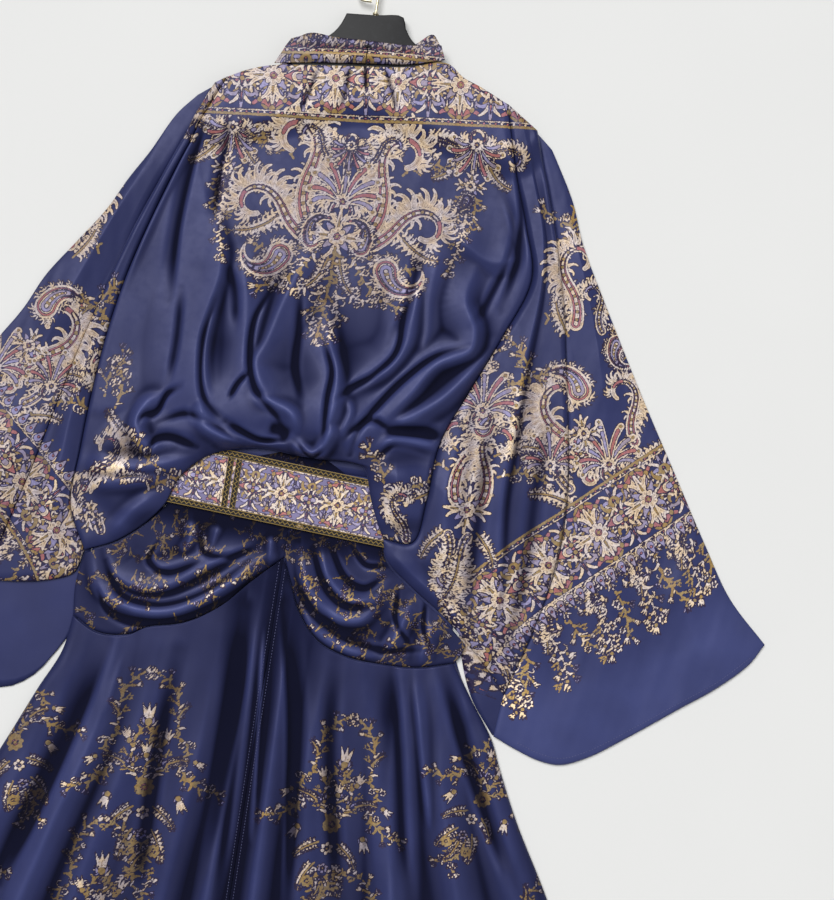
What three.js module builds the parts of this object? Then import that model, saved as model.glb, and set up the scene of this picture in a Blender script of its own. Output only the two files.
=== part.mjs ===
// Batwing sleeve dress, laid flat on its front with the back showing, its hanger still in the neck.
// Millimetres. +Z is up from the surface, +Y runs from the belt to the neck, and the origin is
// under the middle of the belt. Every panel is a cloth wall whose folds are worked out from tables.
import * as THREE from 'three';

// ---- driving dimensions ----
const WALL = 1.6; // satin, seam allowances included
const SEAM_INSET = 0.2; // each side of a seam, so pieces stand 0.4 apart
const EDGE_INSET = 1.0; // where a free edge lies beside another panel
const FRONT_TOP = WALL; // the front panels lie on the surface
const BACK_FLOOR = 1.95; // underside of the panels that lie on the front panels
const YOKE_FLOOR = 4.0; // underside of the bodice where it passes over the hip yoke
const BELT_FLOOR = 4.0;
const BELT_THICK = 2.6;
const BRAID_THICK = 1.0;
const LAYER_GAP = 0.35;
const BELT_TOP = BELT_FLOOR + BELT_THICK;
const BRAID_TOP = BELT_TOP + LAYER_GAP + BRAID_THICK;
const HANGER_FLOOR = BACK_FLOOR + WALL + LAYER_GAP;
const HANGER_THICK = 10;
const HANGER_TOP = HANGER_FLOOR + HANGER_THICK;
const FRONT_INSET = 1.5; // the front panels end this far inside the back ones
const WIRE_RADIUS = 1.7;
const STEEPEST = 0.42; // smallest upward part of a wall's normal that its thickness follows

// ---- colours ----
const SATIN = { color: 0x34365f, roughness: 0.42, metalness: 0 };
const PRINTED = { color: 0x7c6a78, roughness: 0.45, metalness: 0 };
const GOLD_BRAID = { color: 0x9b8546, roughness: 0.5, metalness: 0.2 };
const PLASTIC = { color: 0x2c2c30, roughness: 0.45, metalness: 0 };
const GOLD_WIRE = { color: 0xcaa75e, roughness: 0.3, metalness: 1 };

const dress = new THREE.Group();

function addMesh(name, geometry, look) {
  const mesh = new THREE.Mesh(geometry, new THREE.MeshStandardMaterial(look));
  mesh.name = name;
  dress.add(mesh);
  return mesh;
}

// ---- plan curves ----
function route(points) {
  const stops = points.map(([x, y]) => new THREE.Vector3(x, y, 0));
  if (stops.length === 2) return new THREE.LineCurve3(stops[0], stops[1]);
  const curve = new THREE.CatmullRomCurve3(stops, false, 'centripetal');
  curve.arcLengthDivisions = 400;
  return curve;
}

const at = (curve, share) => curve.getPointAt(THREE.MathUtils.clamp(share, 0, 1));

// Seams and edges, each from the neck towards the hem or from the left to the right.
const EDGES = {
  left_seam: [[-150, 481], [-176, 418], [-199, 353], [-219, 287], [-236, 220], [-247, 152],
    [-253, 84], [-256, 15], [-257, -52], [-232, -104]],
  right_seam: [[184, 501], [205, 430], [230, 360], [246, 300], [222, 226], [193, 155], [168, 88],
    [163, 20], [154, -33], [118, -34]],
  neck: [[-150, 481], [-128, 493], [-100, 503], [-50, 511], [10, 519], [60, 526], [105, 538],
    [128, 524], [150, 516], [184, 501]],
  blouse: [[-232, -104], [-195, -86], [-165, -60], [-144, -32], [-136, -6], [-122, 14], [-100, 33],
    [-75, 43], [-40, 50], [0, 48], [32, 48], [62, 50], [81, 47], [89, 33], [95, 14], [106, -12],
    [118, -34]],
  left_pleat: [[-164, 471], [-190, 408], [-214, 343], [-237, 277], [-257, 208], [-275, 140],
    [-291, 70], [-306, 0], [-325, -76], [-345, -158]],
  left_drape_hem: [[-345, -158], [-300, -153], [-265, -145], [-240, -132], [-232, -104]],
  left_outline: [[-184, 456], [-205, 430], [-230, 380], [-250, 345], [-270, 305], [-300, 260],
    [-330, 215], [-350, 172], [-372, 136], [-420, 60], [-480, -34], [-545, -130]],
  left_cuff: [[-545, -130], [-500, -190], [-440, -235], [-390, -265], [-352, -281]],
  left_cuff_start: [[-345, -158], [-350, -215], [-352, -281]],
  right_pleat: [[224, 475], [248, 412], [270, 345], [288, 280], [303, 205], [317, 130],
    [328, 55], [329, -25], [314, -112], [290, -197]],
  right_drape_hem: [[118, -34], [126, -58], [160, -86], [205, -116], [240, -146], [262, -166],
    [290, -197]],
  right_outline: [[246, 457], [256, 441], [280, 400], [300, 352], [340, 281], [370, 230],
    [400, 180], [450, 100], [500, 20], [540, -40], [590, -88]],
  right_cuff: [[285, -247], [315, -259], [345, -268], [370, -269], [400, -256], [450, -220],
    [500, -181], [540, -150], [575, -115], [590, -88]],
  right_cuff_start: [[290, -197], [287, -222], [285, -247]],
  yoke_left_top: [[-232, -106], [-195, -88], [-165, -62], [-144, -34], [-128, -10], [-104, 16],
    [-60, 36], [-20, 50], [5, 60]],
  yoke_left_hem: [[-234, -182], [-200, -198], [-165, -195], [-145, -183], [-100, -170],
    [-60, -143], [-30, -110], [5, -75]],
  yoke_right_top: [[5, 60], [40, 48], [78, 24], [100, -6], [117, -35], [126, -60], [160, -88],
    [205, -118], [236, -144]],
  yoke_right_hem: [[5, -75], [18, -105], [32, -135], [60, -167], [100, -181], [148, -183],
    [185, -180], [226, -168]],
  skirt_left_outline: [[-234, -182], [-240, -225], [-262, -275], [-285, -330], [-300, -365],
    [-385, -570], [-469, -760]],
  skirt_right_outline: [[226, -168], [256, -212], [285, -252], [300, -285], [330, -345],
    [380, -430], [470, -605], [552, -760]],
  skirt_left_hem: [[-469, -760], [-380, -793], [-240, -820], [-110, -832], [5, -835]],
  skirt_right_hem: [[5, -835], [130, -832], [290, -818], [430, -792], [552, -760]],
};

// ---- folds: each swells the cloth by rise along its path, over lhs mm to the left of someone
// walking the path and rhs mm to the right, and fades out at both ends ----
const BODICE_FOLDS = [
  { path: [[-190, 70], [-100, 82], [0, 86], [90, 84], [165, 78]], rise: 15, lhs: 95, rhs: 60 },
  { path: [[-150, 330], [-122, 262], [-129, 200], [-129, 140], [-112, 85]],
    rise: 10, lhs: 12, rhs: 48 },
  { path: [[-108, 290], [-88, 230], [-80, 170], [-72, 105]], rise: 8, lhs: 20, rhs: 20 },
  { path: [[-20, 300], [-42, 230], [-54, 180], [-64, 148], [-46, 118], [-8, 98]],
    rise: 9, lhs: 30, rhs: 14 },
  { path: [[8, 225], [22, 178], [36, 146], [37, 108], [26, 66]], rise: 11, lhs: 13, rhs: 34 },
  { path: [[108, 310], [113, 250], [112, 200], [94, 168], [60, 149], [36, 132]],
    rise: 9, lhs: 15, rhs: 28 },
  { path: [[178, 305], [172, 262], [188, 228], [186, 203], [150, 180], [122, 137], [88, 92]],
    rise: 14, lhs: 14, rhs: 30 },
  { path: [[214, 212], [192, 180], [160, 140], [120, 108], [92, 92]], rise: 11, lhs: 16, rhs: 15 },
  { path: [[132, 350], [165, 325], [200, 312], [242, 332]], rise: 9, lhs: 22, rhs: 15 },
  { path: [[150, 384], [190, 356], [234, 362]], rise: 6, lhs: 16, rhs: 14 },
  { path: [[130, 335], [128, 260], [132, 205], [112, 158]], rise: 6, lhs: 17, rhs: 17 },
  { path: [[-160, 100], [-184, 82], [-191, 58], [-178, 34], [-150, 34]], rise: 9, lhs: 13, rhs: 13 },
  { path: [[-122, 104], [-112, 72], [-90, 58], [-60, 52]], rise: 9, lhs: 12, rhs: 14 },
  { path: [[-66, 112], [-34, 106], [-10, 96], [0, 74]], rise: 9, lhs: 12, rhs: 12 },
  { path: [[-6, 72], [8, 56], [24, 55], [36, 76], [38, 104]], rise: 10, lhs: 12, rhs: 12 },
  { path: [[94, 70], [114, 84], [166, 86]], rise: 9, lhs: 10, rhs: 12 },
  { path: [[-38, 78], [-22, 74], [-8, 68]], rise: -13, lhs: 16, rhs: 16 },
  { path: [[98, 96], [135, 97], [168, 98]], rise: -9, lhs: 12, rhs: 12 },
  { path: [[118, 66], [126, 30], [140, -22]], rise: 9, lhs: 36, rhs: 34 },
  { path: [[-252, 4], [-205, 2], [-160, 12], [-116, 30]], rise: 7, lhs: 16, rhs: 14 },
  { path: [[-240, -22], [-190, -12], [-144, 2]], rise: 5, lhs: 10, rhs: 12 },
  { path: [[-206, -82], [-180, -46], [-150, -18]], rise: 6, lhs: 14, rhs: 14 },
  { path: [[-162, 462], [-192, 385], [-222, 295], [-243, 210]], rise: 7, lhs: 13, rhs: 10 },
  { path: [[-172, 470], [-196, 395], [-214, 330]], rise: -4, lhs: 10, rhs: 10 },
  { path: [[195, 470], [222, 400], [244, 335], [252, 270]], rise: 8, lhs: 12, rhs: 22 },
];

const DRAPE_FOLDS = [
  { path: [[206, 478], [226, 425], [250, 355], [258, 290], [253, 190], [252, 100], [252, 30],
    [262, -60], [266, -150]], rise: 8, lhs: 6, rhs: 40 },
  { path: [[226, 462], [250, 398], [268, 345], [280, 290]], rise: 7, lhs: 13, rhs: 13 },
  { path: [[250, 440], [274, 370], [300, 285], [314, 180], [326, 80], [326, -10], [312, -100]],
    rise: 6, lhs: 8, rhs: 34 },
  { path: [[192, 130], [184, 50], [192, -20], [204, -95]], rise: 6, lhs: 20, rhs: 18 },
  { path: [[222, 140], [226, 50], [228, -40], [232, -120]], rise: -4, lhs: 14, rhs: 14 },
  { path: [[292, 150], [290, 60], [292, -40], [286, -150]], rise: -4, lhs: 16, rhs: 14 },
  { path: [[130, -46], [160, -70], [205, -100], [250, -140]], rise: 4, lhs: 14, rhs: 10 },
  { path: [[-170, 455], [-204, 375], [-236, 300], [-262, 220], [-286, 120], [-302, 30]],
    rise: 7, lhs: 22, rhs: 8 },
  { path: [[-250, 190], [-268, 90], [-276, 0], [-285, -110]], rise: 5, lhs: 16, rhs: 16 },
];

const SLEEVE_FOLDS = [
  { path: [[268, 410], [300, 330], [330, 250], [360, 150]], rise: 5, lhs: 18, rhs: 20 },
  { path: [[400, 40], [392, -80], [375, -250]], rise: 4, lhs: 60, rhs: 50 },
  { path: [[470, 0], [500, -80], [540, -140]], rise: 4, lhs: 40, rhs: 50 },
  { path: [[-215, 400], [-262, 290], [-300, 190], [-330, 90]], rise: 6, lhs: 20, rhs: 22 },
  { path: [[-330, 90], [-345, 0], [-370, -120], [-385, -240]], rise: 5, lhs: 26, rhs: 40 },
  { path: [[-400, 60], [-440, -60], [-470, -190]], rise: 4, lhs: 36, rhs: 40 },
];

const YOKE_FOLDS = [
  { path: [[-208, -96], [-192, -124], [-162, -137], [-128, -131], [-84, -100], [-30, -58]],
    rise: 10, lhs: 26, rhs: 9 },
  { path: [[-222, -104], [-206, -146], [-165, -163], [-116, -158], [-66, -126], [-30, -92], [-2, -56]],
    rise: 11, lhs: 20, rhs: 10 },
  { path: [[-170, -104], [-150, -112], [-110, -96], [-60, -60]], rise: 6, lhs: 14, rhs: 12 },
  { path: [[-112, -44], [-108, -70], [-118, -92]], rise: 6, lhs: 10, rhs: 10 },
  { path: [[-78, -46], [-82, -80]], rise: 5, lhs: 10, rhs: 10 },
  { path: [[-14, -48], [-10, -86]], rise: 6, lhs: 9, rhs: 9 },
  { path: [[24, -60], [38, -104], [72, -134], [108, -134], [130, -104]], rise: 11, lhs: 17, rhs: 9 },
  { path: [[46, -52], [62, -90], [90, -112], [120, -108], [131, -92]], rise: 10, lhs: 14, rhs: 9 },
  { path: [[28, -118], [52, -152], [96, -172], [140, -168]], rise: 8, lhs: 16, rhs: 10 },
  { path: [[164, -104], [156, -136], [142, -172]], rise: 9, lhs: 13, rhs: 13 },
  { path: [[196, -120], [188, -150], [186, -180]], rise: 5, lhs: 14, rhs: 12 },
];

const SKIRT_FOLDS = [
  { path: [[-12, -96], [-16, -300], [-22, -500], [-42, -850]], rise: 12, lhs: 17, rhs: 18 },
  { path: [[24, -120], [30, -320], [34, -500], [52, -850]], rise: 12, lhs: 20, rhs: 17 },
  { path: [[-54, -170], [-62, -350], [-84, -560], [-120, -860]], rise: 6, lhs: 24, rhs: 26 },
  { path: [[76, -190], [70, -350], [98, -560], [130, -860]], rise: 6, lhs: 26, rhs: 24 },
  { path: [[-178, -205], [-182, -300], [-222, -450], [-318, -830]], rise: 13, lhs: 22, rhs: 30 },
  { path: [[-126, -200], [-140, -320], [-180, -520], [-216, -850]], rise: 6, lhs: 24, rhs: 22 },
  { path: [[-248, -300], [-290, -450], [-392, -800]], rise: 6, lhs: 22, rhs: 22 },
  { path: [[158, -192], [174, -320], [196, -460], [262, -850]], rise: 13, lhs: 26, rhs: 22 },
  { path: [[212, -200], [238, -330], [290, -500], [380, -830]], rise: 9, lhs: 24, rhs: 22 },
  { path: [[258, -262], [300, -350], [372, -500], [478, -800]], rise: 7, lhs: 20, rhs: 22 },
];

// ---- covers: what a panel lies over, as a level-topped rise of its underside ----
const HANGER_COVER = { path: [[-156, 458], [-80, 486], [12, 512], [100, 498], [188, 476]],
  top: HANGER_TOP + LAYER_GAP, level: 34, slope: 34 };
const BELT_COVER = { path: [[-175, 6], [-20, 0], [150, -6]],
  top: BRAID_TOP + LAYER_GAP, level: 48, slope: 26 };

const FOLD_STEPS = 36; // chords along a fold's path
const FADE = 0.22; // share of the path over which a fold rises from nothing

function trace(row) {
  const curve = route(row.path);
  const stops = [];
  for (let i = 0; i <= FOLD_STEPS; i += 1) stops.push(at(curve, i / FOLD_STEPS));
  return { ...row, stops };
}

// The nearest place on a traced path: its distance, its side (positive to the left) and its share.
function nearest(stops, x, y) {
  let best = { distance: Infinity, side: 1, share: 0 };
  for (let i = 0; i < stops.length - 1; i += 1) {
    const a = stops[i];
    const dx = stops[i + 1].x - a.x;
    const dy = stops[i + 1].y - a.y;
    const along = THREE.MathUtils.clamp(((x - a.x) * dx + (y - a.y) * dy) / (dx * dx + dy * dy), 0, 1);
    const px = x - a.x - along * dx;
    const py = y - a.y - along * dy;
    const distance = Math.hypot(px, py);
    if (distance < best.distance) {
      best = { distance, side: dx * py - dy * px, share: (i + along) / (stops.length - 1) };
    }
  }
  return best;
}

const swell = (t) => (t >= 1 ? 0 : 0.5 + 0.5 * Math.cos(Math.PI * t));

function foldedBy(rows, x, y) {
  let rise = 0;
  for (const row of rows) {
    const { distance, side, share } = nearest(row.stops, x, y);
    const reach = side > 0 ? row.lhs : row.rhs;
    const fade = THREE.MathUtils.smoothstep(Math.min(share, 1 - share), 0, FADE);
    rise += row.rise * swell(distance / reach) * (0.15 + 0.85 * fade);
  }
  return rise;
}

function coveredBy(covers, floor, x, y) {
  let level = floor;
  for (const cover of covers) {
    const { distance } = nearest(cover.stops, x, y);
    const beyond = Math.max(0, distance - cover.level) / cover.slope;
    level = Math.max(level, floor + (cover.top - floor) * swell(beyond));
  }
  return level;
}

// ---- a cloth wall over a four-sided plan ----
// Cells are small at a rolled edge.
function stations(count, rollStart, rollEnd) {
  const EDGE_CELL = 0.4; // of a full cell
  const shares = [];
  for (let i = 0; i <= count; i += 1) shares.push(i / count);
  if (rollStart) shares[1] = EDGE_CELL / count;
  if (rollEnd) shares[count - 1] = 1 - EDGE_CELL / count;
  return shares;
}

// The plan spreads from its four corners, and each edge's bow away from the straight line between
// its corners fades towards the opposite edge. A higher hold keeps the bow nearer to its own edge.
// Paced sides put the same number of rows between each pair of their points, so that neighbours
// meet row by row.
function planGrid({ top, bottom, left, right, columns, rows, roll, hold, paced }) {
  const [t, b, l, r] = [top, bottom, left, right].map(route);
  const down = (curve, v) => (paced ? curve.getPoint(v) : at(curve, v));
  const bow = (curve, share, along) => {
    const straight = along(curve, 0).multiplyScalar(1 - share).addScaledVector(along(curve, 1), share);
    return along(curve, share).sub(straight);
  };
  return stations(rows, roll.top, roll.bottom).map((v) => {
    const [leftBow, rightBow] = [bow(l, v, down), bow(r, v, down)];
    return stations(columns, roll.left, roll.right).map((u) => {
      const p = at(t, 0).multiplyScalar((1 - u) * (1 - v)).addScaledVector(at(t, 1), u * (1 - v));
      p.addScaledVector(at(b, 0), (1 - u) * v).addScaledVector(at(b, 1), u * v);
      p.addScaledVector(leftBow, (1 - u) ** hold.across).addScaledVector(rightBow, u ** hold.across);
      p.addScaledVector(bow(t, u, at), (1 - v) ** hold.down);
      return p.addScaledVector(bow(b, u, at), v ** hold.down);
    });
  });
}

function pullIn(grid, inset) {
  const rows = grid.length - 1;
  const columns = grid[0].length - 1;
  const move = (p, q, distance) => p.add(q.clone().sub(p).setLength(distance));
  grid.forEach((row) => {
    move(row[0], row[1], inset.left);
    move(row[columns], row[columns - 1], inset.right);
  });
  for (let i = 0; i <= columns; i += 1) {
    move(grid[0][i], grid[1][i], inset.top);
    move(grid[rows][i], grid[rows - 1][i], inset.bottom);
  }
}

const quarterRound = (distance, width) => {
  if (!width || distance >= width) return 1;
  return Math.sqrt(1 - (1 - distance / width) ** 2);
};

// Closes two sheets of the same grid, the upper one and the lower one, into one solid.
function closeSheets(upper, lower) {
  const rows = upper.length - 1;
  const columns = upper[0].length - 1;
  const across = columns + 1;
  const sheet = (rows + 1) * across;
  const corners = [upper, lower].flatMap((grid) => grid.flat().flatMap((p) => [p.x, p.y, p.z]));
  const faces = [];
  const quad = (a, b, c, d) => faces.push(a, b, c, a, c, d);
  for (let j = 0; j < rows; j += 1) {
    for (let i = 0; i < columns; i += 1) {
      const a = j * across + i;
      const [b, c, d] = [a + 1, a + across + 1, a + across];
      const falling = upper[j][i].distanceTo(upper[j + 1][i + 1]);
      const rising = upper[j][i + 1].distanceTo(upper[j + 1][i]);
      const alongFalling = falling < rising;
      if (alongFalling) quad(a, d, c, b);
      else quad(b, a, d, c);
      if (alongFalling) quad(a + sheet, b + sheet, c + sheet, d + sheet);
      else faces.push(b + sheet, c + sheet, d + sheet, b + sheet, d + sheet, a + sheet);
    }
  }
  for (let i = 0; i < columns; i += 1) {
    const last = rows * across + i;
    quad(i, i + 1, i + 1 + sheet, i + sheet);
    quad(last + 1, last, last + sheet, last + 1 + sheet);
  }
  for (let j = 0; j < rows; j += 1) {
    const a = j * across;
    const z = a + columns;
    quad(a + across, a, a + sheet, a + across + sheet);
    quad(z, z + across, z + across + sheet, z + sheet);
  }
  const geometry = new THREE.BufferGeometry();
  geometry.setAttribute('position', new THREE.Float32BufferAttribute(corners, 3));
  geometry.setIndex(faces);
  geometry.computeVertexNormals();
  return geometry;
}

// The upward part of the surface's normal at each grid point.
function upright(grid) {
  const rows = grid.length - 1;
  const columns = grid[0].length - 1;
  return grid.map((row, j) => row.map((p, i) => {
    const across = row[Math.min(i + 1, columns)].clone().sub(row[Math.max(i - 1, 0)]);
    const down = grid[Math.min(j + 1, rows)][i].clone().sub(grid[Math.max(j - 1, 0)][i]);
    const normal = down.cross(across).normalize();
    return Math.max(Math.abs(normal.z), STEEPEST);
  }));
}

function addPanel(name, look, plan) {
  const settings = { floor: BACK_FLOOR, folds: [], covers: [], lift: 0, roll: {},
    hold: { across: 1, down: 4 }, ...plan };
  const inset = { left: SEAM_INSET, right: SEAM_INSET, top: SEAM_INSET, bottom: SEAM_INSET, ...plan.inset };
  const folds = settings.folds.map(trace);
  const covers = settings.covers.map(trace);
  const grid = planGrid(settings);
  pullIn(grid, inset);
  const rows = grid.length - 1;
  const columns = grid[0].length - 1;
  const levels = grid.map((row) => row.map((p) => coveredBy(covers, settings.floor, p.x, p.y)));
  grid.forEach((row, j) => row.forEach((p, i) => {
    const flat = (q) => Math.hypot(p.x - q.x, p.y - q.y);
    const edge = quarterRound(flat(row[0]), settings.roll.left)
      * quarterRound(flat(row[columns]), settings.roll.right)
      * quarterRound(flat(grid[0][i]), settings.roll.top)
      * quarterRound(flat(grid[rows][i]), settings.roll.bottom);
    const calm = settings.calm ? settings.calm(p.x, p.y) : 1;
    const rise = Math.max(0, settings.lift + foldedBy(folds, p.x, p.y));
    p.z = levels[j][i] + WALL + rise * edge * calm;
  }));
  const lean = upright(grid);
  const under = grid.map((row, j) => row.map((p, i) => {
    const z = Math.max(levels[j][i], p.z - WALL / lean[j][i]);
    return new THREE.Vector3(p.x, p.y, z);
  }));
  addMesh(name, closeSheets(grid, under), look);
}

// ---- the back panels ----
const BODICE_ROWS = 27; // three for each stretch between the points of a side seam

addPanel('bodice_back', SATIN, {
  top: EDGES.neck, bottom: EDGES.blouse, left: EDGES.left_seam, right: EDGES.right_seam,
  columns: 26, rows: BODICE_ROWS, paced: true, floor: YOKE_FLOOR, lift: 3, hold: { across: 2, down: 2 },
  folds: BODICE_FOLDS, covers: [HANGER_COVER, BELT_COVER],
  roll: { top: 14, bottom: 16, left: 7, right: 9 }, inset: { bottom: EDGE_INSET, top: EDGE_INSET },
});

addPanel('sleeve_right_drape', PRINTED, {
  top: [[184, 501], [224, 475]], bottom: EDGES.right_drape_hem,
  left: EDGES.right_seam, right: EDGES.right_pleat,
  columns: 10, rows: BODICE_ROWS, paced: true, floor: YOKE_FLOOR, lift: 3,
  folds: DRAPE_FOLDS, covers: [HANGER_COVER, BELT_COVER],
  roll: { top: 10, bottom: 12, left: 8, right: 9 }, inset: { bottom: EDGE_INSET },
});

addPanel('sleeve_left_drape', PRINTED, {
  top: [[-164, 471], [-150, 481]], bottom: EDGES.left_drape_hem,
  left: EDGES.left_pleat, right: EDGES.left_seam,
  columns: 5, rows: BODICE_ROWS, paced: true, floor: YOKE_FLOOR, lift: 3,
  folds: DRAPE_FOLDS, covers: [HANGER_COVER, BELT_COVER],
  roll: { top: 8, bottom: 12, left: 9, right: 6 }, inset: { bottom: EDGE_INSET },
});

addPanel('sleeve_right_back', PRINTED, {
  top: [[224, 475], [246, 457]], bottom: EDGES.right_cuff,
  left: [...EDGES.right_pleat, ...EDGES.right_cuff_start.slice(1)], right: EDGES.right_outline,
  columns: 10, rows: 26, lift: 1.5, folds: SLEEVE_FOLDS,
  roll: { right: 14, bottom: 8, left: 8 }, inset: { left: EDGE_INSET },
});

addPanel('sleeve_left_back', PRINTED, {
  top: [[-184, 456], [-164, 471]], bottom: EDGES.left_cuff,
  left: EDGES.left_outline, right: [...EDGES.left_pleat, ...EDGES.left_cuff_start.slice(1)],
  columns: 10, rows: 26, lift: 1.5, folds: SLEEVE_FOLDS,
  roll: { left: 14, bottom: 8, right: 8 }, inset: { right: EDGE_INSET },
});

// ---- hip yoke and skirt ----
const BELT_LOWER_EDGE = -44;
const belowBelt = (x, y) => THREE.MathUtils.smoothstep(BELT_LOWER_EDGE - 0.06 * x - y, -4, 14);

addPanel('hip_yoke_left', PRINTED, {
  top: EDGES.yoke_left_top, bottom: EDGES.yoke_left_hem,
  left: [[-232, -106], [-237, -145], [-234, -182]], right: [[5, 60], [5, -75]],
  columns: 18, rows: 13, lift: 2, folds: YOKE_FOLDS, calm: belowBelt,
  roll: { bottom: 7, left: 8 }, inset: { top: EDGE_INSET, bottom: 0.4 },
});

addPanel('hip_yoke_right', PRINTED, {
  top: EDGES.yoke_right_top, bottom: EDGES.yoke_right_hem,
  left: [[5, 60], [5, -75]], right: [[236, -144], [233, -156], [226, -168]],
  columns: 18, rows: 13, lift: 2, folds: YOKE_FOLDS, calm: belowBelt,
  roll: { bottom: 7 }, inset: { top: EDGE_INSET, bottom: 0.4 },
});

addPanel('skirt_back_left', SATIN, {
  top: EDGES.yoke_left_hem, bottom: EDGES.skirt_left_hem,
  left: EDGES.skirt_left_outline, right: [[5, -75], [5, -450], [5, -835]],
  columns: 22, rows: 12, lift: 2, folds: SKIRT_FOLDS,
  roll: { left: 12, bottom: 6 }, inset: { top: 0.4 },
});

addPanel('skirt_back_right', SATIN, {
  top: EDGES.yoke_right_hem, bottom: EDGES.skirt_right_hem,
  left: [[5, -75], [5, -450], [5, -835]], right: EDGES.skirt_right_outline,
  columns: 22, rows: 12, lift: 2, folds: SKIRT_FOLDS,
  roll: { right: 12, bottom: 6 }, inset: { top: 0.4 },
});

// ---- flat panels under the back ----
function outlineOf(...parts) {
  const EDGE_CHORD = 24;
  const points = [];
  for (const part of parts) {
    const curve = route(part);
    const steps = part.length === 2 ? 1 : Math.ceil(curve.getLength() / EDGE_CHORD);
    for (let i = 0; i < steps; i += 1) points.push(at(curve, i / steps));
  }
  return points;
}

// The outline moved inwards by the given distance along its own normals.
function shrink(points, distance) {
  const area = THREE.ShapeUtils.area(points);
  const turn = Math.sign(area);
  return points.map((p, i) => {
    const before = points[(i + points.length - 1) % points.length];
    const after = points[(i + 1) % points.length];
    const inward = new THREE.Vector2(before.y - after.y, after.x - before.x).setLength(turn * distance);
    return new THREE.Vector2(p.x + inward.x, p.y + inward.y);
  });
}

function addPlate(name, look, points, base, thickness, bevel = 0) {
  const shape = new THREE.Shape(points);
  const options = { depth: thickness - 2 * bevel, bevelEnabled: bevel > 0, bevelSize: bevel,
    bevelThickness: bevel, bevelOffset: -bevel, bevelSegments: 2, curveSegments: 8 };
  const geometry = new THREE.ExtrudeGeometry(shape, options);
  geometry.translate(0, 0, base + bevel);
  addMesh(name, geometry, look);
}

const reversed = (points) => [...points].reverse();
const ARMHOLE_LEFT = [[-170, 462], [-200, 300], [-205, 40]];
const ARMHOLE_RIGHT = [[200, 488], [215, 300], [205, 40]];
const FRONT_WAIST = [[-205, 40], [205, 40]];
const FRONT_HIP = -36;
const NECK_LINE = [[-92, 503], [96, 530]]; // where the front meets the front of the collar

addPlate('bodice_front', SATIN, shrink(outlineOf(
  [[-170, 462], [-128, 490], NECK_LINE[0]], NECK_LINE, [NECK_LINE[1], [150, 514], [200, 488]],
  ARMHOLE_RIGHT, reversed(FRONT_WAIST), reversed(ARMHOLE_LEFT),
), FRONT_INSET), 0, FRONT_TOP);

addPlate('sleeve_left_front', SATIN, shrink(outlineOf(
  EDGES.left_outline, EDGES.left_cuff,
  [[-352, -281], [-330, -284], [-300, -282], [-270, -262], [-246, -226]],
  [[-246, -226], [-238, -190], [-239, -140], [-205, 40]], reversed(ARMHOLE_LEFT),
), FRONT_INSET), 0, FRONT_TOP);

addPlate('sleeve_right_front', SATIN, shrink(outlineOf(
  ARMHOLE_RIGHT, [[205, 40], [214, -60], [236, -148], [262, -206], [285, -247]], EDGES.right_cuff,
  reversed(EDGES.right_outline),
), FRONT_INSET), 0, FRONT_TOP);

addPlate('belt_front', PRINTED, shrink(outlineOf(
  FRONT_WAIST, [[205, 40], [208, FRONT_HIP]], [[208, FRONT_HIP], [-212, FRONT_HIP]],
  [[-212, FRONT_HIP], [-205, 40]],
), FRONT_INSET), 0, FRONT_TOP);

addPlate('skirt_front', SATIN, shrink(outlineOf(
  [[-212, FRONT_HIP], [208, FRONT_HIP]], [[208, FRONT_HIP], [214, -90], [228, -160], [256, -212]],
  EDGES.skirt_right_outline.slice(1), reversed(EDGES.skirt_right_hem), reversed(EDGES.skirt_left_hem),
  reversed(EDGES.skirt_left_outline), [[-234, -182], [-233, -140], [-212, FRONT_HIP]],
), FRONT_INSET), 0, FRONT_TOP);

// ---- collar ----
const COLLAR_SLIT = 10; // X of the centre-back opening
const COLLAR_BASE = [[-98, 505], [-50, 513], [COLLAR_SLIT, 521], [60, 528], [103, 540]];
const COLLAR_EDGE = [[-86, 530], [-62, 547], [-30, 547], [COLLAR_SLIT, 549], [60, 551], [96, 557]];
const COLLAR_FOLDS = [
  { path: [[-92, 519], [-40, 524], [10, 530], [60, 536], [100, 546]], rise: 5, lhs: 9, rhs: 8 },
];
const halfCollar = (points, side) => points.filter(([x]) => (x - COLLAR_SLIT) * side >= 0);
for (const [name, side] of [['collar_back_left', -1], ['collar_back_right', 1]]) {
  const base = halfCollar(COLLAR_BASE, side);
  const edge = halfCollar(COLLAR_EDGE, side);
  const slit = [edge.find(([x]) => x === COLLAR_SLIT), base.find(([x]) => x === COLLAR_SLIT)];
  const end = side < 0 ? [edge[0], base[0]] : [edge[edge.length - 1], base[base.length - 1]];
  addPanel(name, PRINTED, {
    top: edge, bottom: base, left: side < 0 ? end : slit, right: side < 0 ? slit : end,
    columns: 10, rows: 4, floor: HANGER_TOP + LAYER_GAP, lift: 1, folds: COLLAR_FOLDS,
    roll: { top: 3 }, inset: { left: 0.5, right: 0.5, bottom: 0.3, top: 0 },
  });
}

addPanel('collar_front', PRINTED, {
  top: [[-84, 541], [-58, 551], [-20, 546], [30, 548], [62, 556], [83, 572], [92, 563]],
  bottom: NECK_LINE,
  left: [[-84, 541], [-92, 524], NECK_LINE[0]], right: [[92, 563], [98, 550], NECK_LINE[1]],
  columns: 14, rows: 4, floor: 0, lift: 0, inset: { bottom: LAYER_GAP - FRONT_INSET },
});

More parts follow.
